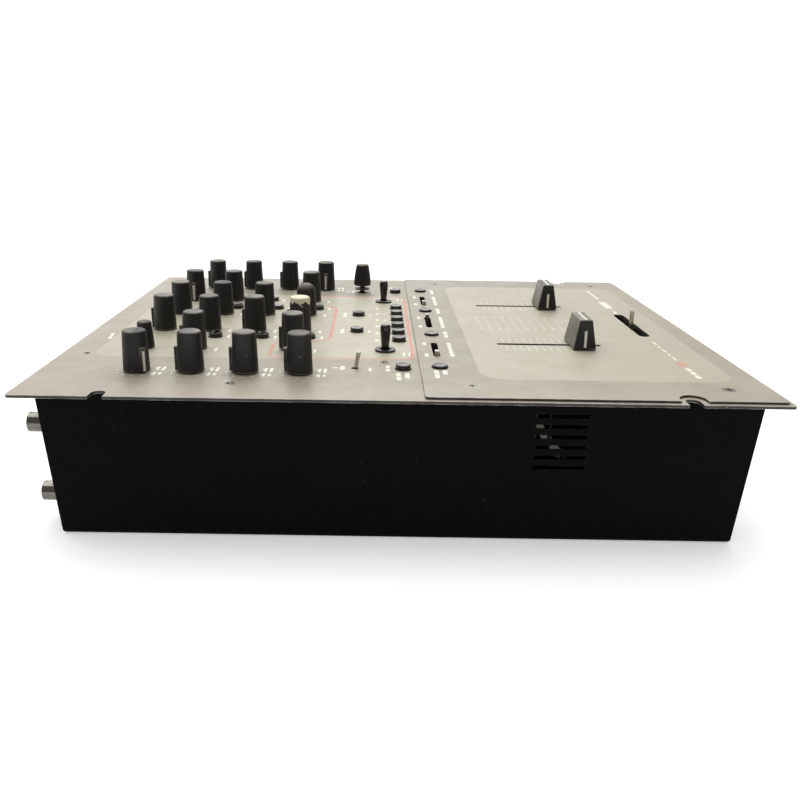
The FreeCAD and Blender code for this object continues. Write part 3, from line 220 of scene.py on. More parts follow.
# %% Rounded field
FIELD_INPUTS = [("Centre X", 0.0), ("Centre Y", 0.0), ("Half Width", 0.1), ("Half Depth", 0.1),
                ("Corner", 0.01), ("Softness", 0.0003)]
rounded_field, given, result = new_group("rounded_field", FIELD_INPUTS, ["Mask"])
place = rounded_field.nodes.new("ShaderNodeSeparateXYZ")
rounded_field.links.new(rounded_field.nodes.new("ShaderNodeTexCoord").outputs["Object"],
                        place.inputs[0])
squares = []
for axis, centre, half in (("X", "Centre X", "Half Width"), ("Y", "Centre Y", "Half Depth")):
    offset = calc(rounded_field, "SUBTRACT", place.outputs[axis], given[centre])
    straight = calc(rounded_field, "SUBTRACT", given[half], given["Corner"])
    beyond = calc(rounded_field, "SUBTRACT", calc(rounded_field, "ABSOLUTE", offset), straight)
    beyond = calc(rounded_field, "MAXIMUM", beyond, 0.0)
    squares.append(calc(rounded_field, "MULTIPLY", beyond, beyond))
distance = calc(rounded_field, "SQRT", calc(rounded_field, "ADD", squares[0], squares[1]))
inside = calc(rounded_field, "SUBTRACT", given["Corner"], distance)
rounded_field.links.new(calc(rounded_field, "DIVIDE", inside, given["Softness"], clamp=True),
                        result["Mask"])

# %% [markdown]
# ## Finishes
#
# Every finish starts the same way: two close tones broken up by grain, rubbed edges in another
# colour, dust on top, and roughness and bump from the same masks. One function lays that down and
# each finish then sets its own numbers, and adds what is special to it.

# %% The common finish
WEAR_DEFAULTS = {"radius": 0.5 * MM, "amount": 0.6}


def coated(name, main, deeper, roughness, bump=0.15, wear=None, bare=None, film=0.3, specks=0.4,
           dust_colour=colour(176, 170, 152), metallic=0.0, bare_metallic=None, pattern=None,
           specular=0.5, cloud_scale=30.0):
    """A coating in two tones, with worn edges, dust and grain; pattern may repaint the coating."""
    material = bpy.data.materials.new(name)
    material.use_nodes = True
    print("finish:", name)
    tree = material.node_tree
    shader = tree.nodes["Principled BSDF"]
    shader.inputs["Specular IOR Level"].default_value = specular
    tone = use_group(tree, grain, Fine=1.0, Coarse=0.6)
    broad = fade(tree, noise(tree, cloud_scale, 4.0, 0.6), 0.3, 0.7)
    mottle = calc(tree, "MULTIPLY", calc(tree, "ADD", tone["Tone"], broad), 0.5)
    paint = blended(tree, mottle, main, deeper)
    if pattern:
        paint = pattern(tree, paint)
    wear = {**WEAR_DEFAULTS, **(wear or {})}
    worn = use_group(tree, edge_wear, Radius=wear["radius"], Amount=wear["amount"])["Mask"]
    paint = blended(tree, worn, paint, bare or deeper)
    dusty = use_group(tree, dust, Film=film, Specks=specks)
    paint = blended(tree, dusty["Film"], paint, dust_colour)
    paint = blended(tree, dusty["Specks"], paint, dust_colour)
    tree.links.new(paint, shader.inputs["Base Color"])
    low, high = roughness
    uneven = fade(tree, noise(tree, 90.0, 4.0, 0.6), 0.3, 0.7, low, high)
    matt = calc(tree, "ADD", uneven, calc(tree, "MULTIPLY", dusty["Film"], 0.3), clamp=True)
    tree.links.new(matt, shader.inputs["Roughness"])
    shader.inputs["Metallic"].default_value = metallic
    if bare_metallic is not None:
        tree.links.new(fade(tree, worn, 0.3, 0.7, metallic, bare_metallic), shader.inputs["Metallic"])
    relief = tree.nodes.new("ShaderNodeBump")
    relief.inputs["Strength"].default_value = bump
    relief.inputs["Distance"].default_value = 0.1 * MM
    tree.links.new(tone["Height"], relief.inputs["Height"])
    tree.links.new(relief.outputs["Normal"], shader.inputs["Normal"])
    return material


# %% [markdown]
# ### Panel and fader plate
#
# Both sheets are sprayed warm grey with a fine texture, and carry paler printed fields. The field on
# the fader plate is one large rounded rectangle round all the faders. The one on the rear half lies
# under the knobs, and a second, paler one lies inside the pink outline. The paint is scuffed and
# stained, so the fields get slightly broken edges too.

# %% Printed fields
PANEL_GREY = colour(154, 147, 131)
PANEL_DEEP = colour(136, 129, 112)
FIELD_GREY = colour(178, 172, 150)
# Bare metal for scratches and for the rubbed sheet edges; on the edges it also paints a highlight.
BARE_METAL_AND_EDGE_HIGHLIGHT = colour(214, 210, 200)
STAIN = colour(118, 108, 88)
# Near black for faces that don't face up: the sheets' dark side paint, together with painted shade.
SIDE_PAINT_AND_SHADE = colour(38, 36, 33)
WARM_END = colour(176, 158, 147)
WARM_LIMIT = {"Centre X": 20 * MM, "Centre Y": 0, "Half Width": 150 * MM, "Half Depth": 150 * MM,
              "Corner": 40 * MM, "Softness": 40 * MM}
FIELDS = {
    "plate": [{"Centre X": 0, "Centre Y": -87 * MM, "Half Width": 101 * MM, "Half Depth": 53 * MM,
               "Corner": 11 * MM}],
    "panel": [{"Centre X": 0, "Centre Y": 64 * MM, "Half Width": 71 * MM, "Half Depth": 73 * MM,
               "Corner": 9 * MM},
              {"Centre X": 0, "Centre Y": 12.5 * MM, "Half Width": 70 * MM, "Half Depth": 20 * MM,
               "Corner": 6 * MM}],
}


def with_fields(which):
    """A pattern that lightens the printed fields of one sheet and adds scuffs and stains."""
    def pattern(tree, paint):
        for sizes in FIELDS[which]:
            mask = use_group(tree, rounded_field, **sizes)["Mask"]
            worn = fade(tree, noise(tree, 420.0, 4.0, 0.7), 0.28, 0.40)
            share = calc(tree, "MULTIPLY", calc(tree, "MULTIPLY", mask, worn), 0.8)
            paint = blended(tree, share, paint, FIELD_GREY)
        marks = fade(tree, noise(tree, 28.0, 6.0, 0.7), 0.60, 0.74)
        paint = blended(tree, calc(tree, "MULTIPLY", marks, 0.35), paint, STAIN)
        scratches = fade(tree, noise(tree, 60.0, 5.0, 0.75, (0.35, 5, 1)), 0.69, 0.73)
        paint = blended(tree, calc(tree, "MULTIPLY", scratches, 0.3), paint, BARE_METAL_AND_EDGE_HIGHLIGHT)
        speckle = fade(tree, noise(tree, 1100.0, 3.0, 0.8), 0.52, 0.66)
        paint = blended(tree, calc(tree, "MULTIPLY", speckle, 0.28), paint, STAIN)
        middle_part = use_group(tree, rounded_field, **WARM_LIMIT)["Mask"]
        warmth = calc(tree, "MULTIPLY", calc(tree, "SUBTRACT", 1.0, middle_part), 0.45)
        paint = blended(tree, warmth, paint, WARM_END)
        # Faces that don't face up, the sheets' sides and undersides, go near black: partly dark paint, partly
        # painted shade.
        facing = tree.nodes.new("ShaderNodeSeparateXYZ")
        tree.links.new(tree.nodes.new("ShaderNodeNewGeometry").outputs["Normal"], facing.inputs[0])
        return blended(tree, fade(tree, facing.outputs["Z"], 0.3, 0.7), SIDE_PAINT_AND_SHADE, paint)
    return pattern


# On both sheets the pale rubbed edges are partly wear and partly a painted highlight, the bright line where an
# edge catches the light.
SHEET_LOOK = {"main": PANEL_GREY, "deeper": PANEL_DEEP, "roughness": (0.38, 0.52), "bump": 0.22,
              "wear": {"radius": 0.35 * MM, "amount": 0.9}, "bare": BARE_METAL_AND_EDGE_HIGHLIGHT, "film": 0.35,
              "specks": 0.5, "bare_metallic": 0.6}
panel_paint = coated("panel_paint", pattern=with_fields("panel"), **SHEET_LOOK)
plate_paint = coated("plate_paint", pattern=with_fields("plate"), **SHEET_LOOK)

# %% [markdown]
# ### Tray
#
# The tray is powder-coated in a satin black that swallows almost all light. What shows is the fine
# orange-peel of the powder, a few pale specks, and greyer bends and slot edges where it was handled.

# %% Tray paint
SATIN_BLACK = (colour(8, 8, 8), colour(6, 6, 6))
tray_paint = coated("tray_paint", *SATIN_BLACK, (0.55, 0.62), bump=0.35,
                    wear={"radius": 0.5 * MM, "amount": 0.3}, bare=colour(60, 58, 54), film=0.05,
                    specks=0.06, specular=0.05)

# %% [markdown]
# ### Plastics
#
# The knobs are a soft-touch plastic that has gone grey and shiny on its top edge; the buttons and
# paddle toggles are hard glossy plastic; the fader caps are black with ground-in dust on the two
# broad flanks that the fingers don't wipe.

# %% Knob, button and cap plastics
FADED = colour(150, 148, 138)
knob_plastic = coated("knob_plastic", colour(26, 26, 23), colour(17, 17, 15), (0.38, 0.55), bump=0.2,
                      wear={"radius": 1.1 * MM, "amount": 0.85}, bare=FADED, film=0.6, specks=0.4,
                      specular=0.4)
button_plastic = coated("button_plastic", colour(14, 14, 14), colour(9, 9, 9), (0.1, 0.22),
                        bump=0.05, wear={"radius": 0.5 * MM, "amount": 0.6}, bare=FADED, film=0.25,
                        specks=0.3)
switch_plastic = coated("switch_plastic", colour(22, 22, 22), colour(14, 14, 14), (0.3, 0.45),
                        bump=0.1, film=0.3, specks=0.4)


def dusty_flanks(tree, paint):
    """Grey, streaky dust on the sides of a fader cap that face along its stroke."""
    facing = tree.nodes.new("ShaderNodeSeparateXYZ")
    geometry = tree.nodes.new("ShaderNodeNewGeometry")
    tree.links.new(geometry.outputs["True Normal"], facing.inputs[0])
    flank = fade(tree, calc(tree, "ABSOLUTE", facing.outputs["Y"]), 0.6, 0.85)
    streaks = fade(tree, noise(tree, 420.0, 4.0, 0.6, (1, 1, 0.25)), 0.3, 0.68, 0.35, 0.85)
    return blended(tree, calc(tree, "MULTIPLY", flank, streaks), paint, colour(122, 118, 104))


cap_plastic = coated("cap_plastic", colour(22, 21, 19), colour(14, 13, 12), (0.25, 0.42), bump=0.12,
                     wear={"radius": 0.8 * MM, "amount": 0.8}, bare=FADED, film=0.6, specks=0.4,
                     pattern=dusty_flanks, specular=0.4)

# %% [markdown]
# ### Metals and boards
#
# Screws are dark with a bright cross, levers are bare tarnished steel, the phono jacks are nickel.
# Circuit boards and the housings inside only show through the slots, so their finish is simple.

# %% Metals and boards
screw_steel = coated("screw_steel", colour(150, 146, 136), colour(104, 100, 92), (0.3, 0.5), bump=0.1,
                     wear={"radius": 0.25 * MM, "amount": 1.0}, bare=colour(220, 216, 206), film=0.3,
                     metallic=0.9)
bare_steel = coated("bare_steel", colour(206, 201, 186), colour(158, 151, 134), (0.22, 0.4), bump=0.1,
                    wear={"radius": 0.3 * MM, "amount": 0.7}, bare=colour(232, 228, 220), film=0.15,
                    metallic=0.95)
jack_nickel = coated("jack_nickel", colour(128, 126, 120), colour(96, 93, 86), (0.12, 0.25),
                     bump=0.05, wear={"radius": 0.3 * MM, "amount": 0.5}, bare=colour(240, 238, 230),
                     film=0.2, metallic=1.0)
board_laminate = coated("board_laminate", colour(34, 84, 52), colour(24, 62, 38), (0.35, 0.5),
                        bare=colour(150, 140, 90), film=0.4)
bright_steel = coated("bright_steel", colour(150, 148, 142), colour(118, 115, 108), (0.3, 0.45),
                      metallic=1.0, film=0.05, specks=0.1)
heat_sink_metal = coated("heat_sink_metal", colour(120, 120, 118), colour(84, 84, 82),
                         (0.25, 0.4), metallic=1.0, film=0.1, specks=0.1)

# %% [markdown]
# ### Inks and small plastics
#
# Print is a thin film of ink that has yellowed and rubbed thin, so it is mottled rather than white.

# %% Inks and small plastics
cream_ink = coated("cream_ink", colour(240, 236, 220), colour(224, 219, 200), (0.45, 0.6), bump=0.1,
                   wear={"amount": 0.0}, film=0.25, specks=0.2, dust_colour=colour(178, 170, 146))
faint_ink = coated("faint_ink", colour(214, 210, 194), colour(200, 195, 176), (0.45, 0.6), bump=0.1,
                   wear={"amount": 0.0}, film=0.3, specks=0.2)
pink_ink = coated("pink_ink", colour(205, 142, 122), colour(192, 132, 112), (0.45, 0.6), bump=0.1,
                  wear={"amount": 0.0}, film=0.35, specks=0.2)
line_white = coated("line_white", colour(236, 234, 226), colour(214, 211, 200), (0.35, 0.5),
                    bump=0.05, wear={"amount": 0.0}, film=0.15, specks=0.15)
# Near-black felt for the slot strips, which also darkens the slots as painted shade.
felt_and_slot_shade = coated("felt_and_slot_shade", colour(8, 8, 8), colour(14, 13, 13), (0.9, 1.0), bump=0.6,
                   wear={"amount": 0.0}, film=0.04, specks=0.3, specular=0.05)
jack_black = coated("jack_black", colour(24, 24, 24), colour(16, 16, 16), (0.35, 0.5), bump=0.15,
                    wear={"amount": 0.3}, bare=FADED, film=0.25)
jack_white = coated("jack_white", colour(222, 218, 206), colour(200, 196, 182), (0.3, 0.45),
                    wear={"amount": 0.0}, film=0.35)
jack_red = coated("jack_red", colour(150, 34, 30), colour(126, 28, 26), (0.3, 0.45),
                  wear={"amount": 0.0}, film=0.35)
print(len(bpy.data.materials), "finishes")

# %% [markdown]
# ## Dressing the solids
#
# Each solid keeps its own mesh and only its material slots change. The slot names of the packed
# record say which finish a solid takes.

# %% Assign the finishes
FINISHES = {"tray_paint": tray_paint, "panel_paint": panel_paint, "plate_paint": plate_paint,
            "screw_steel": screw_steel, "jack_nickel": jack_nickel, "board_laminate": board_laminate,
            "switch_plastic": switch_plastic, "knob_plastic": knob_plastic,
            "button_plastic": button_plastic, "bare_steel": bare_steel, "cap_plastic": cap_plastic}


def dress(node, material):
    """Give every material slot of a solid one finish."""
    solid = frame["nodes"][node]
    if not solid.material_slots:
        solid.data.materials.append(material)
    for slot in solid.material_slots:
        slot.material = material


for subpart in frame["record"]["subparts"]:
    dress(subpart["node"], FINISHES[subpart["material_slot"]])
print(len(frame["nodes"]), "solids dressed")

# %% [markdown]
# ## Building pieces
#
# New pieces are made in a bmesh and kept with one call. A bar is a cube stretched between two
# points; a turned piece is a half profile that is spun and closed. A repeated piece is made once
# and stamped in each place.

# %% Piece helpers
def keep(bm, name, material, body=CHASSIS, smooth=True):
    """Turn a bmesh into a finished piece that rides on a body."""
    mesh = bpy.data.meshes.new(name)
    bm.to_mesh(mesh)
    bm.free()
    print("piece:", name, "with", len(mesh.polygons), "faces")
    mesh.materials.append(material)
    if smooth:
        mesh.shade_smooth()
        mesh.set_sharp_from_angle(angle=math.radians(32))
    piece = bpy.data.objects.new(name, mesh)
    bpy.context.scene.collection.objects.link(piece)
    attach(piece, body)
    return piece


def bar(bm, start, end, width, facing=UP, thickness=0.06 * MM):
    """A straight bar between two points, lying on a surface that faces the given way."""
    start, end = Vector(start), Vector(end)
    along = (end - start).normalized()
    across = facing.cross(along).normalized()
    axes = Matrix((along, across, along.cross(across))).transposed().to_4x4()
    size = Matrix.Diagonal(((end - start).length, width, thickness, 1))
    bmesh.ops.create_cube(bm, size=1, matrix=Matrix.Translation((start + end) / 2) @ axes @ size)


def spun_mesh(name, profile, segments=48):
    """A mesh made by spinning (radius, height) points about Z."""
    bm = bmesh.new()
    points = [bm.verts.new((radius, 0, height)) for radius, height in profile]
    edges = [bm.edges.new(pair) for pair in zip(points, points[1:])]
    bmesh.ops.spin(bm, geom=points + edges, cent=(0, 0, 0), axis=(0, 0, 1), angle=2 * math.pi,
                   steps=segments, use_merge=True)
    bmesh.ops.remove_doubles(bm, verts=bm.verts, dist=1e-7)
    bmesh.ops.recalc_face_normals(bm, faces=bm.faces)
    mesh = bpy.data.meshes.new(name)
    bm.to_mesh(mesh)
    bm.free()
    return mesh


def stamp(bm, mesh, place):
    """Add a copy of a mesh, moved by a matrix."""
    copy = mesh.copy()
    copy.transform(place)
    bm.from_mesh(copy)
    bpy.data.meshes.remove(copy)


def facing_matrix(centre, axis):
    """Turns +Z to an axis and moves the origin to a centre."""
    return Matrix.Translation(centre) @ Vector(axis).to_track_quat("Z", "Y").to_matrix().to_4x4()


# %% [markdown]
# ## Pointer lines
#
# Each knob has a rib down one side with a white line on it. The knobs don't all point the same way,
# so the line's direction is read from the solid: its rib is what lies furthest from the pivot.

# %% Pointer lines on the knobs
LINE_WIDTH = 1.0 * MM
LINE_FOOT = 0.9 * MM                   # above the panel
LINE_LENGTH = 8.72 * MM
RIB_TOP = 10.2 * MM
RIM_SPREAD = 0.05 * MM                 # points this close to the furthest one belong to the rib


def rib_of(node):
    """Direction and reach of a knob's rib."""
    pivot = pivots[node]
    offsets = [Vector((vertex.co.x - pivot.x, vertex.co.y - pivot.y, 0))
               for vertex in frame["nodes"][node].data.vertices]
    furthest = max(offset.length for offset in offsets)
    rib = [offset for offset in offsets if offset.length > furthest - RIM_SPREAD]
    direction = sum(rib, Vector()).normalized()
    return direction, max(offset.dot(direction) for offset in rib)


for node in POINTER_KNOBS:
    direction, reach = rib_of(node)
    face = pivots[node] + direction * reach
    line_foot = PANEL_TOP + LINE_FOOT
    bm = bmesh.new()
    bar(bm, (face.x, face.y, line_foot), (face.x, face.y, line_foot + LINE_LENGTH), LINE_WIDTH,
        facing=direction)
    keep(bm, node + "_line", line_white, node, smooth=False)

# %% [markdown]
# ## Fader cap lines
#
# A fader cap has a white line across its top and down both narrow ends, where the ends lean in a
# little. The end lines follow that lean, so they are bars between two points on the sloping face.

# %% Lines on the fader caps
CAP_HEIGHT = 13.6 * MM
CAP_LEAN = 1.2 * MM                    # how far each end leans in from foot to top
CAP_MARGIN = 0.9 * MM                  # from the end of the top line to the edge of the top
END_LINE_SPAN = (0.05, 0.62)           # of the cap's height
for node in ("left_line_fader", "right_line_fader"):
    low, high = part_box(node)
    y = middle(node).y
    cap_foot = high.z - CAP_HEIGHT
    inset = CAP_LEAN + CAP_MARGIN
    bm = bmesh.new()
    bar(bm, (low.x + inset, y, high.z), (high.x - inset, y, high.z), 1.1 * MM)
    for side, edge in ((-1, low.x), (1, high.x)):
        start, end = [(edge - side * CAP_LEAN * share, y, cap_foot + CAP_HEIGHT * share)
                      for share in END_LINE_SPAN]
        bar(bm, start, end, 1.2 * MM, facing=Vector((side, 0, CAP_LEAN / CAP_HEIGHT)))
    keep(bm, node + "_lines", line_white, node, smooth=False)

# %% [markdown]
# ## Printed marks
#
# The panel's legends stand here as plain bars and dots: a word becomes a bar of its length. They
# are a film of ink a few hundredths of a millimetre thick, sunk halfway into the sheet so that no
# gap shows under them.

# %% Marks on the rear panel
WORD = 5.2                             # longest unbroken bar, in millimetres
WORD_GAP = 0.9
DOT_RADIUS = 8.2                       # of the scale of dots round a knob


def mark(bm, x, y, length, width, top=PANEL_TOP, turned=0.0, broken=True):
    """Bars of ink centred on x and y, in millimetres; a long legend is broken into words."""
    along = Vector((math.cos(math.radians(turned)), math.sin(math.radians(turned)), 0))
    words = max(1, round(length / WORD)) if broken else 1
    step = (length + WORD_GAP) / words
    for word in range(words):
        middle_of_word = Vector((x, y, 0)) + along * (step * (word + 0.5) - (length + WORD_GAP) / 2)
        half = along * (step - WORD_GAP) / 2
        low, high = (middle_of_word - half) * MM, (middle_of_word + half) * MM
        bar(bm, (low.x, low.y, top), (high.x, high.y, top), width * MM)


legends = bmesh.new()
for node in POINTER_KNOBS:
    x, y = pivots[node].x / MM, pivots[node].y / MM
    for step in range(11):             # a dot each 30 degrees of the knob's travel
        angle = math.radians(90 + 150 - 30 * step)
        dot = Vector((math.cos(angle), math.sin(angle))) * DOT_RADIUS
        mark(legends, x + dot.x, y + dot.y, 1.3 if step in (0, 10) else 0.8, 0.7,
             turned=math.degrees(angle))
    if "outer" in node:
        for row, drop in enumerate((8.2, 10.6)):
            mark(legends, x - 4.2, y - drop, 4.4 - 1.2 * row, 1.3)
            mark(legends, x + 3.0, y - drop, 5.0 + 0.8 * row, 1.3)
    else:
        mark(legends, x - 2.5, y - 10.2, 5.6, 1.4)
for node in BUTTONS:
    x, y = middle(node).x / MM, middle(node).y / MM
    if "kill" in node or "link" in node:
        mark(legends, x, y - 6.4, 5.0, 1.2)
    if "effect" in node:
        mark(legends, x, y + 10.6, 3.0, 1.8)
        mark(legends, x, y + 6.4, 1.6, 1.4)
    if "select" in node:
        mark(legends, x, y + 7.4, 9.0, 1.9)
        mark(legends, x, y - 6.2, 3.2, 1.3)
    if "cue" in node:
        side = 1 if x > 0 else -1
        mark(legends, x + side * 11.3, y + 2.2, 10.5, 1.9)
        mark(legends, x + side * 9.8, y - 1.5, 7.6, 1.9)
        mark(legends, x, y + 6.6, 8.6, 1.7)
for node in ("left_small_toggle", "right_capped_toggle"):
    x, y = pivots[node].x / MM, pivots[node].y / MM
    mark(legends, x, y + 8.6, 1.4, 2.6)
    mark(legends, x, y + 5.4, 5.8, 2.0)
    mark(legends, x - 2.0, y - 6.5, 4.4, 1.3)
for side in (-1, 1):
    for row in (-3.2, -6.0):
        mark(legends, side * 61, row, 6.0, 1.1)
mark(legends, -35, 139, 11, 1.6, turned=8)
keep(legends, "panel_legends", cream_ink, smooth=False)

# %% Marks on the fader plate
BUTTON_ROW = -25.0                     # legends below the curve sliders and the flush buttons
legends = bmesh.new()
for x in (-55.0, 0.0, 55.0):           # the curve sliders
    for side in (-1, 1):
        mark(legends, x + side * 10, -13.4, 5.2, 1.7, PLATE_TOP)
    mark(legends, x, BUTTON_ROW, 24.0, 1.9, PLATE_TOP)
for x in (-27.0, 27.0, 81.5):
    mark(legends, x, BUTTON_ROW, 12.0, 1.9, PLATE_TOP)
mark(legends, -94.5, -16.0, 11.0, 2.0, PLATE_TOP)
mark(legends, -92.0, -19.6, 6.0, 2.0, PLATE_TOP)

scale = bmesh.new()
FADER_TICKS = 9
TICK_PITCH = 3.43
for column in (-FADER_COLUMN, FADER_COLUMN):
    for step in range(FADER_TICKS):
        for side in (-1, 1):
            mark(scale, column + side * 7.2, -52.0 - TICK_PITCH * step, 8.6, 0.5, PLATE_TOP,
                 broken=False)
CENTRE_LINES = 10
CENTRE_PITCH = 4.6
for step in range(CENTRE_LINES):
    y = -45.0 - CENTRE_PITCH * step
    mark(scale, 0, y, 24.0, 0.35, PLATE_TOP, broken=False)
    for x, size in ((-13, 1.6), (13, 1.6), (0, 1.0)):
        mark(scale, x, y, size, size, PLATE_TOP)
keep(scale, "fader_scales", faint_ink, smooth=False)

CROSS_ROW = -125.5
mark(legends, 80, CROSS_ROW, 27.0, 1.4, PLATE_TOP)
mark(legends, 50.5, CROSS_ROW, 18.5, 4.0, PLATE_TOP, broken=False)
mark(legends, 30.5, CROSS_ROW, 4.5, 1.5, PLATE_TOP)
for step in range(5):
    mark(legends, -38.0 - 6.8 * step, CROSS_ROW, 5.4 - 2.2 * (step % 2), 1.0, PLATE_TOP)
mark(legends, -88, CROSS_ROW, 15.0, 2.2, PLATE_TOP)
keep(legends, "plate_legends", cream_ink, smooth=False)

square = bmesh.new()
mark(square, -74.5, CROSS_ROW, 6.5, 4.5, PLATE_TOP)
keep(square, "pink_square", pink_ink, smooth=False)

# %% [markdown]
# ## Pink outline
#
# A pink line runs round the effect controls and bulges back round two knobs. Its outline is one
# flat face with a few corners: the corners are rounded by a vertex bevel, the face is inset by the
# line's width, and what lies inside is deleted, which leaves a ribbon of even width.

# %% Pink outline
OUTLINE = [(-70, -8), (70, -8), (70, 59), (42, 59), (38, 33), (-38, 33), (-42, 59), (-70, 59)]
OUTLINE_WIDTH = 1.7 * MM
bm = bmesh.new()
corners = [bm.verts.new((x * MM, y * MM, PANEL_TOP)) for x, y in OUTLINE]
bm.faces.new(corners)
bmesh.ops.bevel(bm, geom=bm.verts[:], affect="VERTICES", offset=6 * MM, offset_type="OFFSET",
                segments=6, profile=0.5, material=-1)
inner = bmesh.ops.inset_region(bm, faces=bm.faces[:], thickness=OUTLINE_WIDTH, use_boundary=True,
                               use_even_offset=True)["faces"]
ribbon = set(inner)
bmesh.ops.delete(bm, geom=[face for face in bm.faces if face not in ribbon], context="FACES")
raised = bmesh.ops.extrude_face_region(bm, geom=bm.faces[:])["geom"]
bmesh.ops.translate(bm, verts=[item for item in raised if isinstance(item, bmesh.types.BMVert)],
                    vec=(0, 0, 0.03 * MM))
bmesh.ops.recalc_face_normals(bm, faces=bm.faces)
keep(bm, "pink_outline", pink_ink, smooth=False)

# %% [markdown]
# ## Felt strips in the slots, which also paint shade
#
# Under each fader slot lie two strips of black felt that close round the lever and keep dust out;
# they are also a dark sheet that stands in for the shade inside the slots.
# They leave just enough room for the lever to pass, so they can stay still while it slides.

# %% Felt strips, also painted shade in the slots
LEVER_ROOM = 0.75 * MM                 # from the middle of a slot to the felt
FELT_DEPTH = 0.9 * MM                  # below the underside of the panel
FADER_SLOTS = [((-FADER_COLUMN, -98.0), (-FADER_COLUMN, -48.0), 1.4),
               ((FADER_COLUMN, -98.0), (FADER_COLUMN, -48.0), 1.4),
               ((-25.0, -125.3), (25.0, -125.3), 2.8)]          # start, end and half width
level = Vector((0, 0, panel_low.z - FELT_DEPTH))
bm = bmesh.new()
for start, end, half_width in FADER_SLOTS:
    start, end = Vector((*start, 0)) * MM, Vector((*end, 0)) * MM
    across = UP.cross(end - start).normalized()
    for side in (-1, 1):
        edge = (half_width + 1.0) * MM
        shift = across * side * (LEVER_ROOM + edge) / 2
        bar(bm, start + shift + level, end + shift + level, edge - LEVER_ROOM, thickness=0.5 * MM)
keep(bm, "felt_and_slot_shade_strips", felt_and_slot_shade, smooth=False)

# %% [markdown]
# ## Connectors
#
# The solid jacks are plain rods. These are made again with what a jack has: a rolled nickel shell, a
# coloured insulator set back inside it, and a dark contact hole. The places come from the record's
# mounts, so each new jack stands exactly on its solid.

# %% Phono jacks
mounts = {mount["name"]: mount for mount in frame["record"]["mounts"]}
JACKS = sorted(name for name in mounts if name.startswith("phono_jack"))
SHELL = [(3.55, -3.6), (3.55, 3.6), (3.7, 3.95), (3.9, 4.1), (4.08, 3.95), (4.15, 3.6), (4.15, -3.0),
         (4.05, -3.3), (4.05, -4.1), (3.55, -4.1), (3.55, -3.6)]
INSULATOR = [(3.6, -4.0), (3.6, 2.3), (3.3, 2.6), (2.2, 2.6), (1.9, 2.4), (1.65, 2.1), (1.65, -3.8),
             (0.0, -3.8)]
COLLAR = [(4.1, -5.1), (5.2, -5.1), (5.6, -4.8), (5.6, -4.4), (5.4, -4.1), (4.1, -4.1),
          (4.1, -5.1)]
NECK = [(0.0, -11.4), (3.9, -11.4), (3.9, -5.0), (0.0, -5.0)]
BETWEEN_ROWS = 30 * MM                 # height between the lower and the upper row of jacks


def scaled(points):
    """A profile in millimetres, as metres."""
    return [(radius * MM, height * MM) for radius, height in points]


shell = spun_mesh("jack_shell", scaled(SHELL))
insulator = spun_mesh("jack_insulator", scaled(INSULATOR))
collar = spun_mesh("jack_collar", scaled(COLLAR))
neck = spun_mesh("jack_neck", scaled(NECK), 24)
shells, collars = bmesh.new(), bmesh.new()
cups = {"white": bmesh.new(), "red": bmesh.new()}
for name in JACKS:
    at = facing_matrix(mounts[name]["pos_m"], mounts[name]["axis"])
    stamp(shells, shell, at)
    stamp(collars, collar, at)
    stamp(collars, neck, at)
    upper = mounts[name]["pos_m"][2] > BETWEEN_ROWS
    stamp(cups["white" if upper else "red"], insulator, at)
nickel_piece = keep(shells, "phono_jack_shells", jack_nickel)
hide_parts("connectors")
keep(collars, "phono_jack_collars", jack_black)
keep(cups["white"], "white_insulators", jack_white)
keep(cups["red"], "red_insulators", jack_red)

# %% [markdown]
# The quarter-inch sockets have a threaded barrel with a hexagonal nut, the power inlet is a square
# black block with a round hole and a pin, and the ground post is a stud with a knurled nut, made
# here as a plain round nut. A thread is cheap as a zigzag profile: rings instead of a helix, which
# look the same at this size.

# %% Quarter-inch sockets
THREAD_PITCH = 0.8
thread = [(3.2, -7.0), (3.2, 6.6), (3.5, 7.0), (4.6, 7.0)]
for turn in range(5):
    level = 6.6 - turn * THREAD_PITCH
    thread += [(5.0, level), (4.65, level - THREAD_PITCH / 2)]
thread += [(5.0, 2.4), (5.0, -7.0), (3.2, -7.0)]
socket_mesh = spun_mesh("socket_barrel", scaled(thread), 64)
plug_hole = spun_mesh("socket_bore", scaled([(0.0, -6.8), (3.3, -6.8), (3.3, -6.4), (0.0, -6.4)]), 32)
sockets, bores = bmesh.new(), bmesh.new()
for name in ("microphone_socket", "headphone_socket"):
    at = facing_matrix(mounts[name]["pos_m"], mounts[name]["axis"])
    stamp(sockets, socket_mesh, at)
    stamp(bores, plug_hole, at)
    nut = bmesh.ops.create_cone(sockets, cap_ends=True, segments=6, radius1=7.0 * MM,
                                radius2=7.0 * MM, depth=2.2 * MM,
                                matrix=at @ Matrix.Translation((0, 0, 5.1 * MM)))["verts"]
    rim = {edge for vert in nut for edge in vert.link_edges}
    bmesh.ops.bevel(sockets, geom=list(rim), affect="EDGES", offset=0.3 * MM, segments=2,
                    profile=0.5, material=-1)
keep(sockets, "quarter_inch_sockets", jack_nickel)
keep(bores, "socket_bottoms", jack_black)

# %% Power inlet
inlet = mounts["power_inlet"]
at_inlet = facing_matrix(Vector(inlet["pos_m"]), inlet["axis"])
INLET_HALF = 5.5 * MM
INLET_BORE = 2.9 * MM
INLET_LENGTH = 12 * MM
INLET_DEPTH = 9 * MM
RING = 32


def points_in(items):
    """The points of what an extrusion made."""
    return [item for item in items if isinstance(item, bmesh.types.BMVert)]


def edges_in(items, test):
    """The edges of what an extrusion made, of which both ends pass a test."""
    return [item for item in items if isinstance(item, bmesh.types.BMEdge)
            and all(test(vert) for vert in item.verts)]


def on_square(vert):
    """Whether a point lies on the block's outer edge."""
    return max(abs(vert.co.x), abs(vert.co.y)) > INLET_HALF - 1e-5


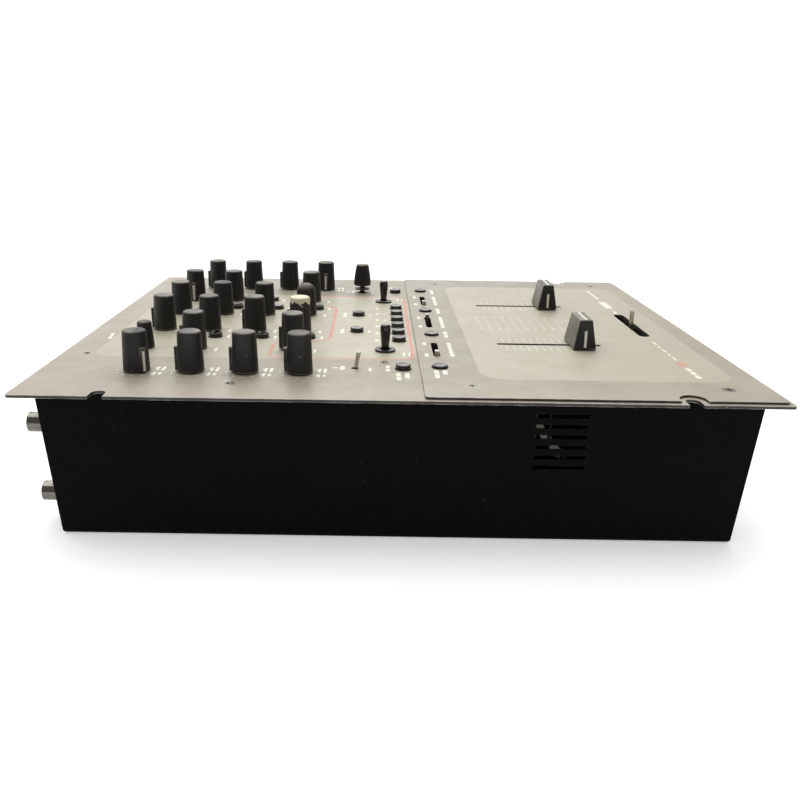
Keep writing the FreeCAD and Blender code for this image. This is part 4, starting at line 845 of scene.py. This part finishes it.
bm = bmesh.new()
bmesh.ops.create_circle(bm, cap_ends=False, segments=RING, radius=INLET_BORE)
hole_edges = bm.edges[:]
front = bmesh.ops.extrude_edge_only(bm, edges=hole_edges)["geom"]
for vert in points_in(front):
    reach = INLET_HALF / max(abs(vert.co.x), abs(vert.co.y))
    vert.co = Vector((vert.co.x * reach, vert.co.y * reach, 0))
wall = bmesh.ops.extrude_edge_only(bm, edges=edges_in(front, on_square))["geom"]
bmesh.ops.translate(bm, verts=points_in(wall), vec=(0, 0, -INLET_LENGTH))
bore = bmesh.ops.extrude_edge_only(bm, edges=hole_edges)["geom"]
deep = points_in(bore)
bmesh.ops.translate(bm, verts=deep, vec=(0, 0, -INLET_DEPTH))
bmesh.ops.contextual_create(bm, geom=edges_in(bore, lambda vert: vert in deep))
bmesh.ops.recalc_face_normals(bm, faces=bm.faces)
bmesh.ops.transform(bm, matrix=at_inlet, verts=bm.verts)
keep(bm, "power_inlet_block", jack_black)

# %% Ground post and inlet pin
GROUND_X, GROUND_Z = 5.0 * MM, 28.0 * MM
WALL_FOOT, WALL_HEAD, WALL_HEIGHT = 138.7 * MM, 144.0 * MM, 62.8 * MM      # the rear wall leans
ground_wall = WALL_FOOT + (WALL_HEAD - WALL_FOOT) * GROUND_Z / WALL_HEIGHT
PIN = [(0, -9.2), (1.0, -9.2), (1.0, -2.0), (0.6, -1.5), (0, -1.5)]
STUD = [(0, -8), (1.5, -8), (1.5, 9.6), (1.1, 10), (0, 10)]
BACKWARDS = (0, 1, 0)
bm = bmesh.new()
stamp(bm, spun_mesh("inlet_pin", scaled(PIN), 24), at_inlet)
stamp(bm, spun_mesh("ground_stud", scaled(STUD), 32),
      facing_matrix((GROUND_X, ground_wall, GROUND_Z), BACKWARDS))
bmesh.ops.create_cone(bm, cap_ends=True, segments=36, radius1=4.6 * MM, radius2=4.2 * MM,
                      depth=5.0 * MM,
                      matrix=facing_matrix((GROUND_X, ground_wall + 3.7 * MM, GROUND_Z), BACKWARDS))
keep(bm, "ground_post_and_pin", jack_nickel)

# %% [markdown]
# ## Inside, behind the vents
#
# A finned heat sink stands behind the slots of the side wall, with a bent sheet-metal brace in front
# of it. Only slivers show, but they catch the light and make the slots look like openings into a box.

# %% Heat sink
SINK_X = tray_low.x + 20 * MM
SINK_Y = -64.6 * MM
SINK_Z = 34 * MM
SINK_HALF = 14 * MM
FIN_LENGTH = 9 * MM
FIN_LEAN = 4 * MM
bm = bmesh.new()
bar(bm, (SINK_X, SINK_Y - SINK_HALF, SINK_Z), (SINK_X, SINK_Y + SINK_HALF, SINK_Z), 2 * MM,
    thickness=40 * MM)
for offset in (-10, -4, 2, 8):
    y = SINK_Y + offset * MM
    bar(bm, (SINK_X - FIN_LENGTH, y, SINK_Z), (SINK_X, y + FIN_LEAN, SINK_Z), 1.0 * MM,
        thickness=38 * MM)
keep(bm, "heat_sink", heat_sink_metal, smooth=False)

# %% Sheet-metal brace
BRACE_X = tray_low.x + 12 * MM
BRACE_WIDTH = 3.4 * MM
BRACE_BENDS = [(-50, 58), (-61, 42), (-74, 26)]        # Y and Z, in millimetres
bm = bmesh.new()
for start, end in zip(BRACE_BENDS, BRACE_BENDS[1:]):
    ends = [(BRACE_X, y * MM, z * MM) for y, z in (start, end)]
    bar(bm, ends[0], ends[1], BRACE_WIDTH, facing=Vector((1, 0, 0)), thickness=0.8 * MM)
keep(bm, "vent_brace", bright_steel, smooth=False)

# %% [markdown]
# ## Two odd knobs
#
# One knob has lost the coating of its top, which shows the cream plastic below with a ragged edge.
# Another has a domed top instead of a flat one, so it is spun again as its own piece.

# %% A worn knob
WORN_KNOB = "left_inner_knob_4"
worn_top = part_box(WORN_KNOB)[1].z
RAGGED = 7.0 * MM                      # how far the edge of the bare part wanders
BARE_DEPTH = 3.4 * MM                  # from the top to where the coating begins
EDGE_BLUR = 0.3 * MM
CREAM = colour(226, 216, 188)


def bare_top(tree, paint):
    """Cream plastic above a ragged line near the top of the knob."""
    place = tree.nodes.new("ShaderNodeSeparateXYZ")
    tree.links.new(tree.nodes.new("ShaderNodeTexCoord").outputs["Object"], place.inputs[0])
    wander = calc(tree, "SUBTRACT", noise(tree, 330.0, 4.0, 0.6), 0.5)
    height = calc(tree, "ADD", place.outputs["Z"], calc(tree, "MULTIPLY", wander, RAGGED))
    mask = fade(tree, height, worn_top - BARE_DEPTH, worn_top - BARE_DEPTH + EDGE_BLUR)
    return blended(tree, mask, paint, CREAM)


worn_plastic = coated("worn_knob_plastic", colour(34, 33, 29), colour(24, 23, 20), (0.42, 0.6),
                      bump=0.25, wear={"radius": 0.5 * MM, "amount": 0.3}, bare=FADED, film=0.3,
                      specks=0.5, pattern=bare_top)
dress(WORN_KNOB, worn_plastic)

# %% A domed knob
DOMED_KNOB = "right_inner_knob_4"
DOME = 4.6 * MM
DOME_STEPS = 8
DOME_RADIUS = 5.1 * MM
foot = PANEL_TOP + 0.6 * MM
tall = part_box(DOMED_KNOB)[1].z - foot
shoulder = tall - DOME
profile = [(0.0, 0.0), (5.5 * MM, 0.0), (5.6 * MM, 0.15 * MM), (5.15 * MM, shoulder)]
for step in range(1, DOME_STEPS):
    angle = math.pi / 2 * step / DOME_STEPS
    profile.append((DOME_RADIUS * math.cos(angle), shoulder + DOME * math.sin(angle)))
profile.append((0.0, tall))
bm = bmesh.new()
middle_line = Vector((pivots[DOMED_KNOB].x, pivots[DOMED_KNOB].y, foot))
stamp(bm, spun_mesh("domed_cap", profile), Matrix.Translation(middle_line))
direction, reach = rib_of(DOMED_KNOB)
rib_middle = middle_line + Vector((0, 0, RIB_TOP / 2))
bar(bm, rib_middle + direction * 4.0 * MM, rib_middle + direction * reach, 2.0 * MM, thickness=RIB_TOP)
domed = keep(bm, "domed_knob", knob_plastic, DOMED_KNOB)
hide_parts(DOMED_KNOB)

# %% [markdown]
# ## Stage, light and camera
#
# A pale floor and a large soft light from above and behind, as in a studio. The panel is seen almost
# edge on, so the light behind it is what makes the paint look pale; the near wall gets only a weak
# fill, which keeps it black. The sky is brighter to the eye than to the object, for the same reason.

# %% Floor
FLOOR_TONE = (0.8, 0.8, 0.8, 1)
FLOOR_GLOW = 0.42
WHITE = (1, 1, 1, 1)
floor = bmesh.new()
bmesh.ops.create_grid(floor, x_segments=1, y_segments=1, size=6.0)
mesh = bpy.data.meshes.new("floor")
floor.to_mesh(mesh)
floor.free()
ground = bpy.data.objects.new("floor", mesh)
bpy.context.scene.collection.objects.link(ground)
floor_paint = bpy.data.materials.new("floor_paint")
floor_paint.use_nodes = True
floor_shader = floor_paint.node_tree.nodes["Principled BSDF"]
for label, value in (("Base Color", FLOOR_TONE), ("Emission Color", WHITE),
                     ("Emission Strength", FLOOR_GLOW), ("Roughness", 0.9)):
    floor_shader.inputs[label].default_value = value
mesh.materials.append(floor_paint)
print("floor laid")


# %% Lights
SKY_ON_OBJECT, SKY_SEEN = 0.32, 1.1


def sun_light(name, elevation, heading, strength, spread):
    """A far soft light; elevation and heading, from +X towards +Y, are in degrees."""
    data = bpy.data.lights.new(name, "SUN")
    data.energy = strength
    data.angle = math.radians(spread)
    light = bpy.data.objects.new(name, data)
    rise, turn = math.radians(elevation), math.radians(heading)
    toward = Vector((math.cos(rise) * math.cos(turn), math.cos(rise) * math.sin(turn), math.sin(rise)))
    light.rotation_euler = toward.to_track_quat("Z", "Y").to_euler()
    bpy.context.scene.collection.objects.link(light)


sun_light("overhead_softbox", 68, 20, 2.9, 75)
sun_light("rear_softbox", 30, 4, 0.7, 45)
world = bpy.data.worlds.new("studio")
bpy.context.scene.world = world
world.use_nodes = True
sky = world.node_tree.nodes["Background"]
sky.inputs["Color"].default_value = WHITE
straight = world.node_tree.nodes.new("ShaderNodeLightPath").outputs["Is Camera Ray"]
world.node_tree.links.new(fade(world.node_tree, straight, 0.0, 1.0, SKY_ON_OBJECT, SKY_SEEN),
                          sky.inputs["Strength"])
bpy.context.scene.view_settings.view_transform = "Standard"
print("lights:", [item.name for item in bpy.data.lights])

# %% Camera
CAMERA_PLACE = Vector((-414.06, 10.26, 162.04)) * MM
PITCH, YAW, ROLL = (math.radians(angle) for angle in (18.288, 0.092, 0.833))
FOCAL_LENGTH = 35.955
SHIFT = (0.0342, -0.0093)
level_view = Matrix(((0, -1, 0), (0, 0, -1), (1, 0, 0)))     # rows: right, down and forward
turned_view = (Matrix.Rotation(ROLL, 3, "Z") @ Matrix.Rotation(PITCH, 3, "X")
               @ Matrix.Rotation(YAW, 3, "Y") @ level_view)
right, down, forward = (Vector(row) for row in turned_view)
camera_data = bpy.data.cameras.new("camera")
camera_data.sensor_width = 36.0
camera_data.lens = FOCAL_LENGTH
camera_data.shift_x, camera_data.shift_y = SHIFT
camera_data.clip_start = 0.01
camera = bpy.data.objects.new("camera", camera_data)
camera.matrix_world = (Matrix.Translation(CAMERA_PLACE)
                       @ Matrix((right, -down, -forward)).transposed().to_4x4())
bpy.context.scene.collection.objects.link(camera)
bpy.context.scene.camera = camera
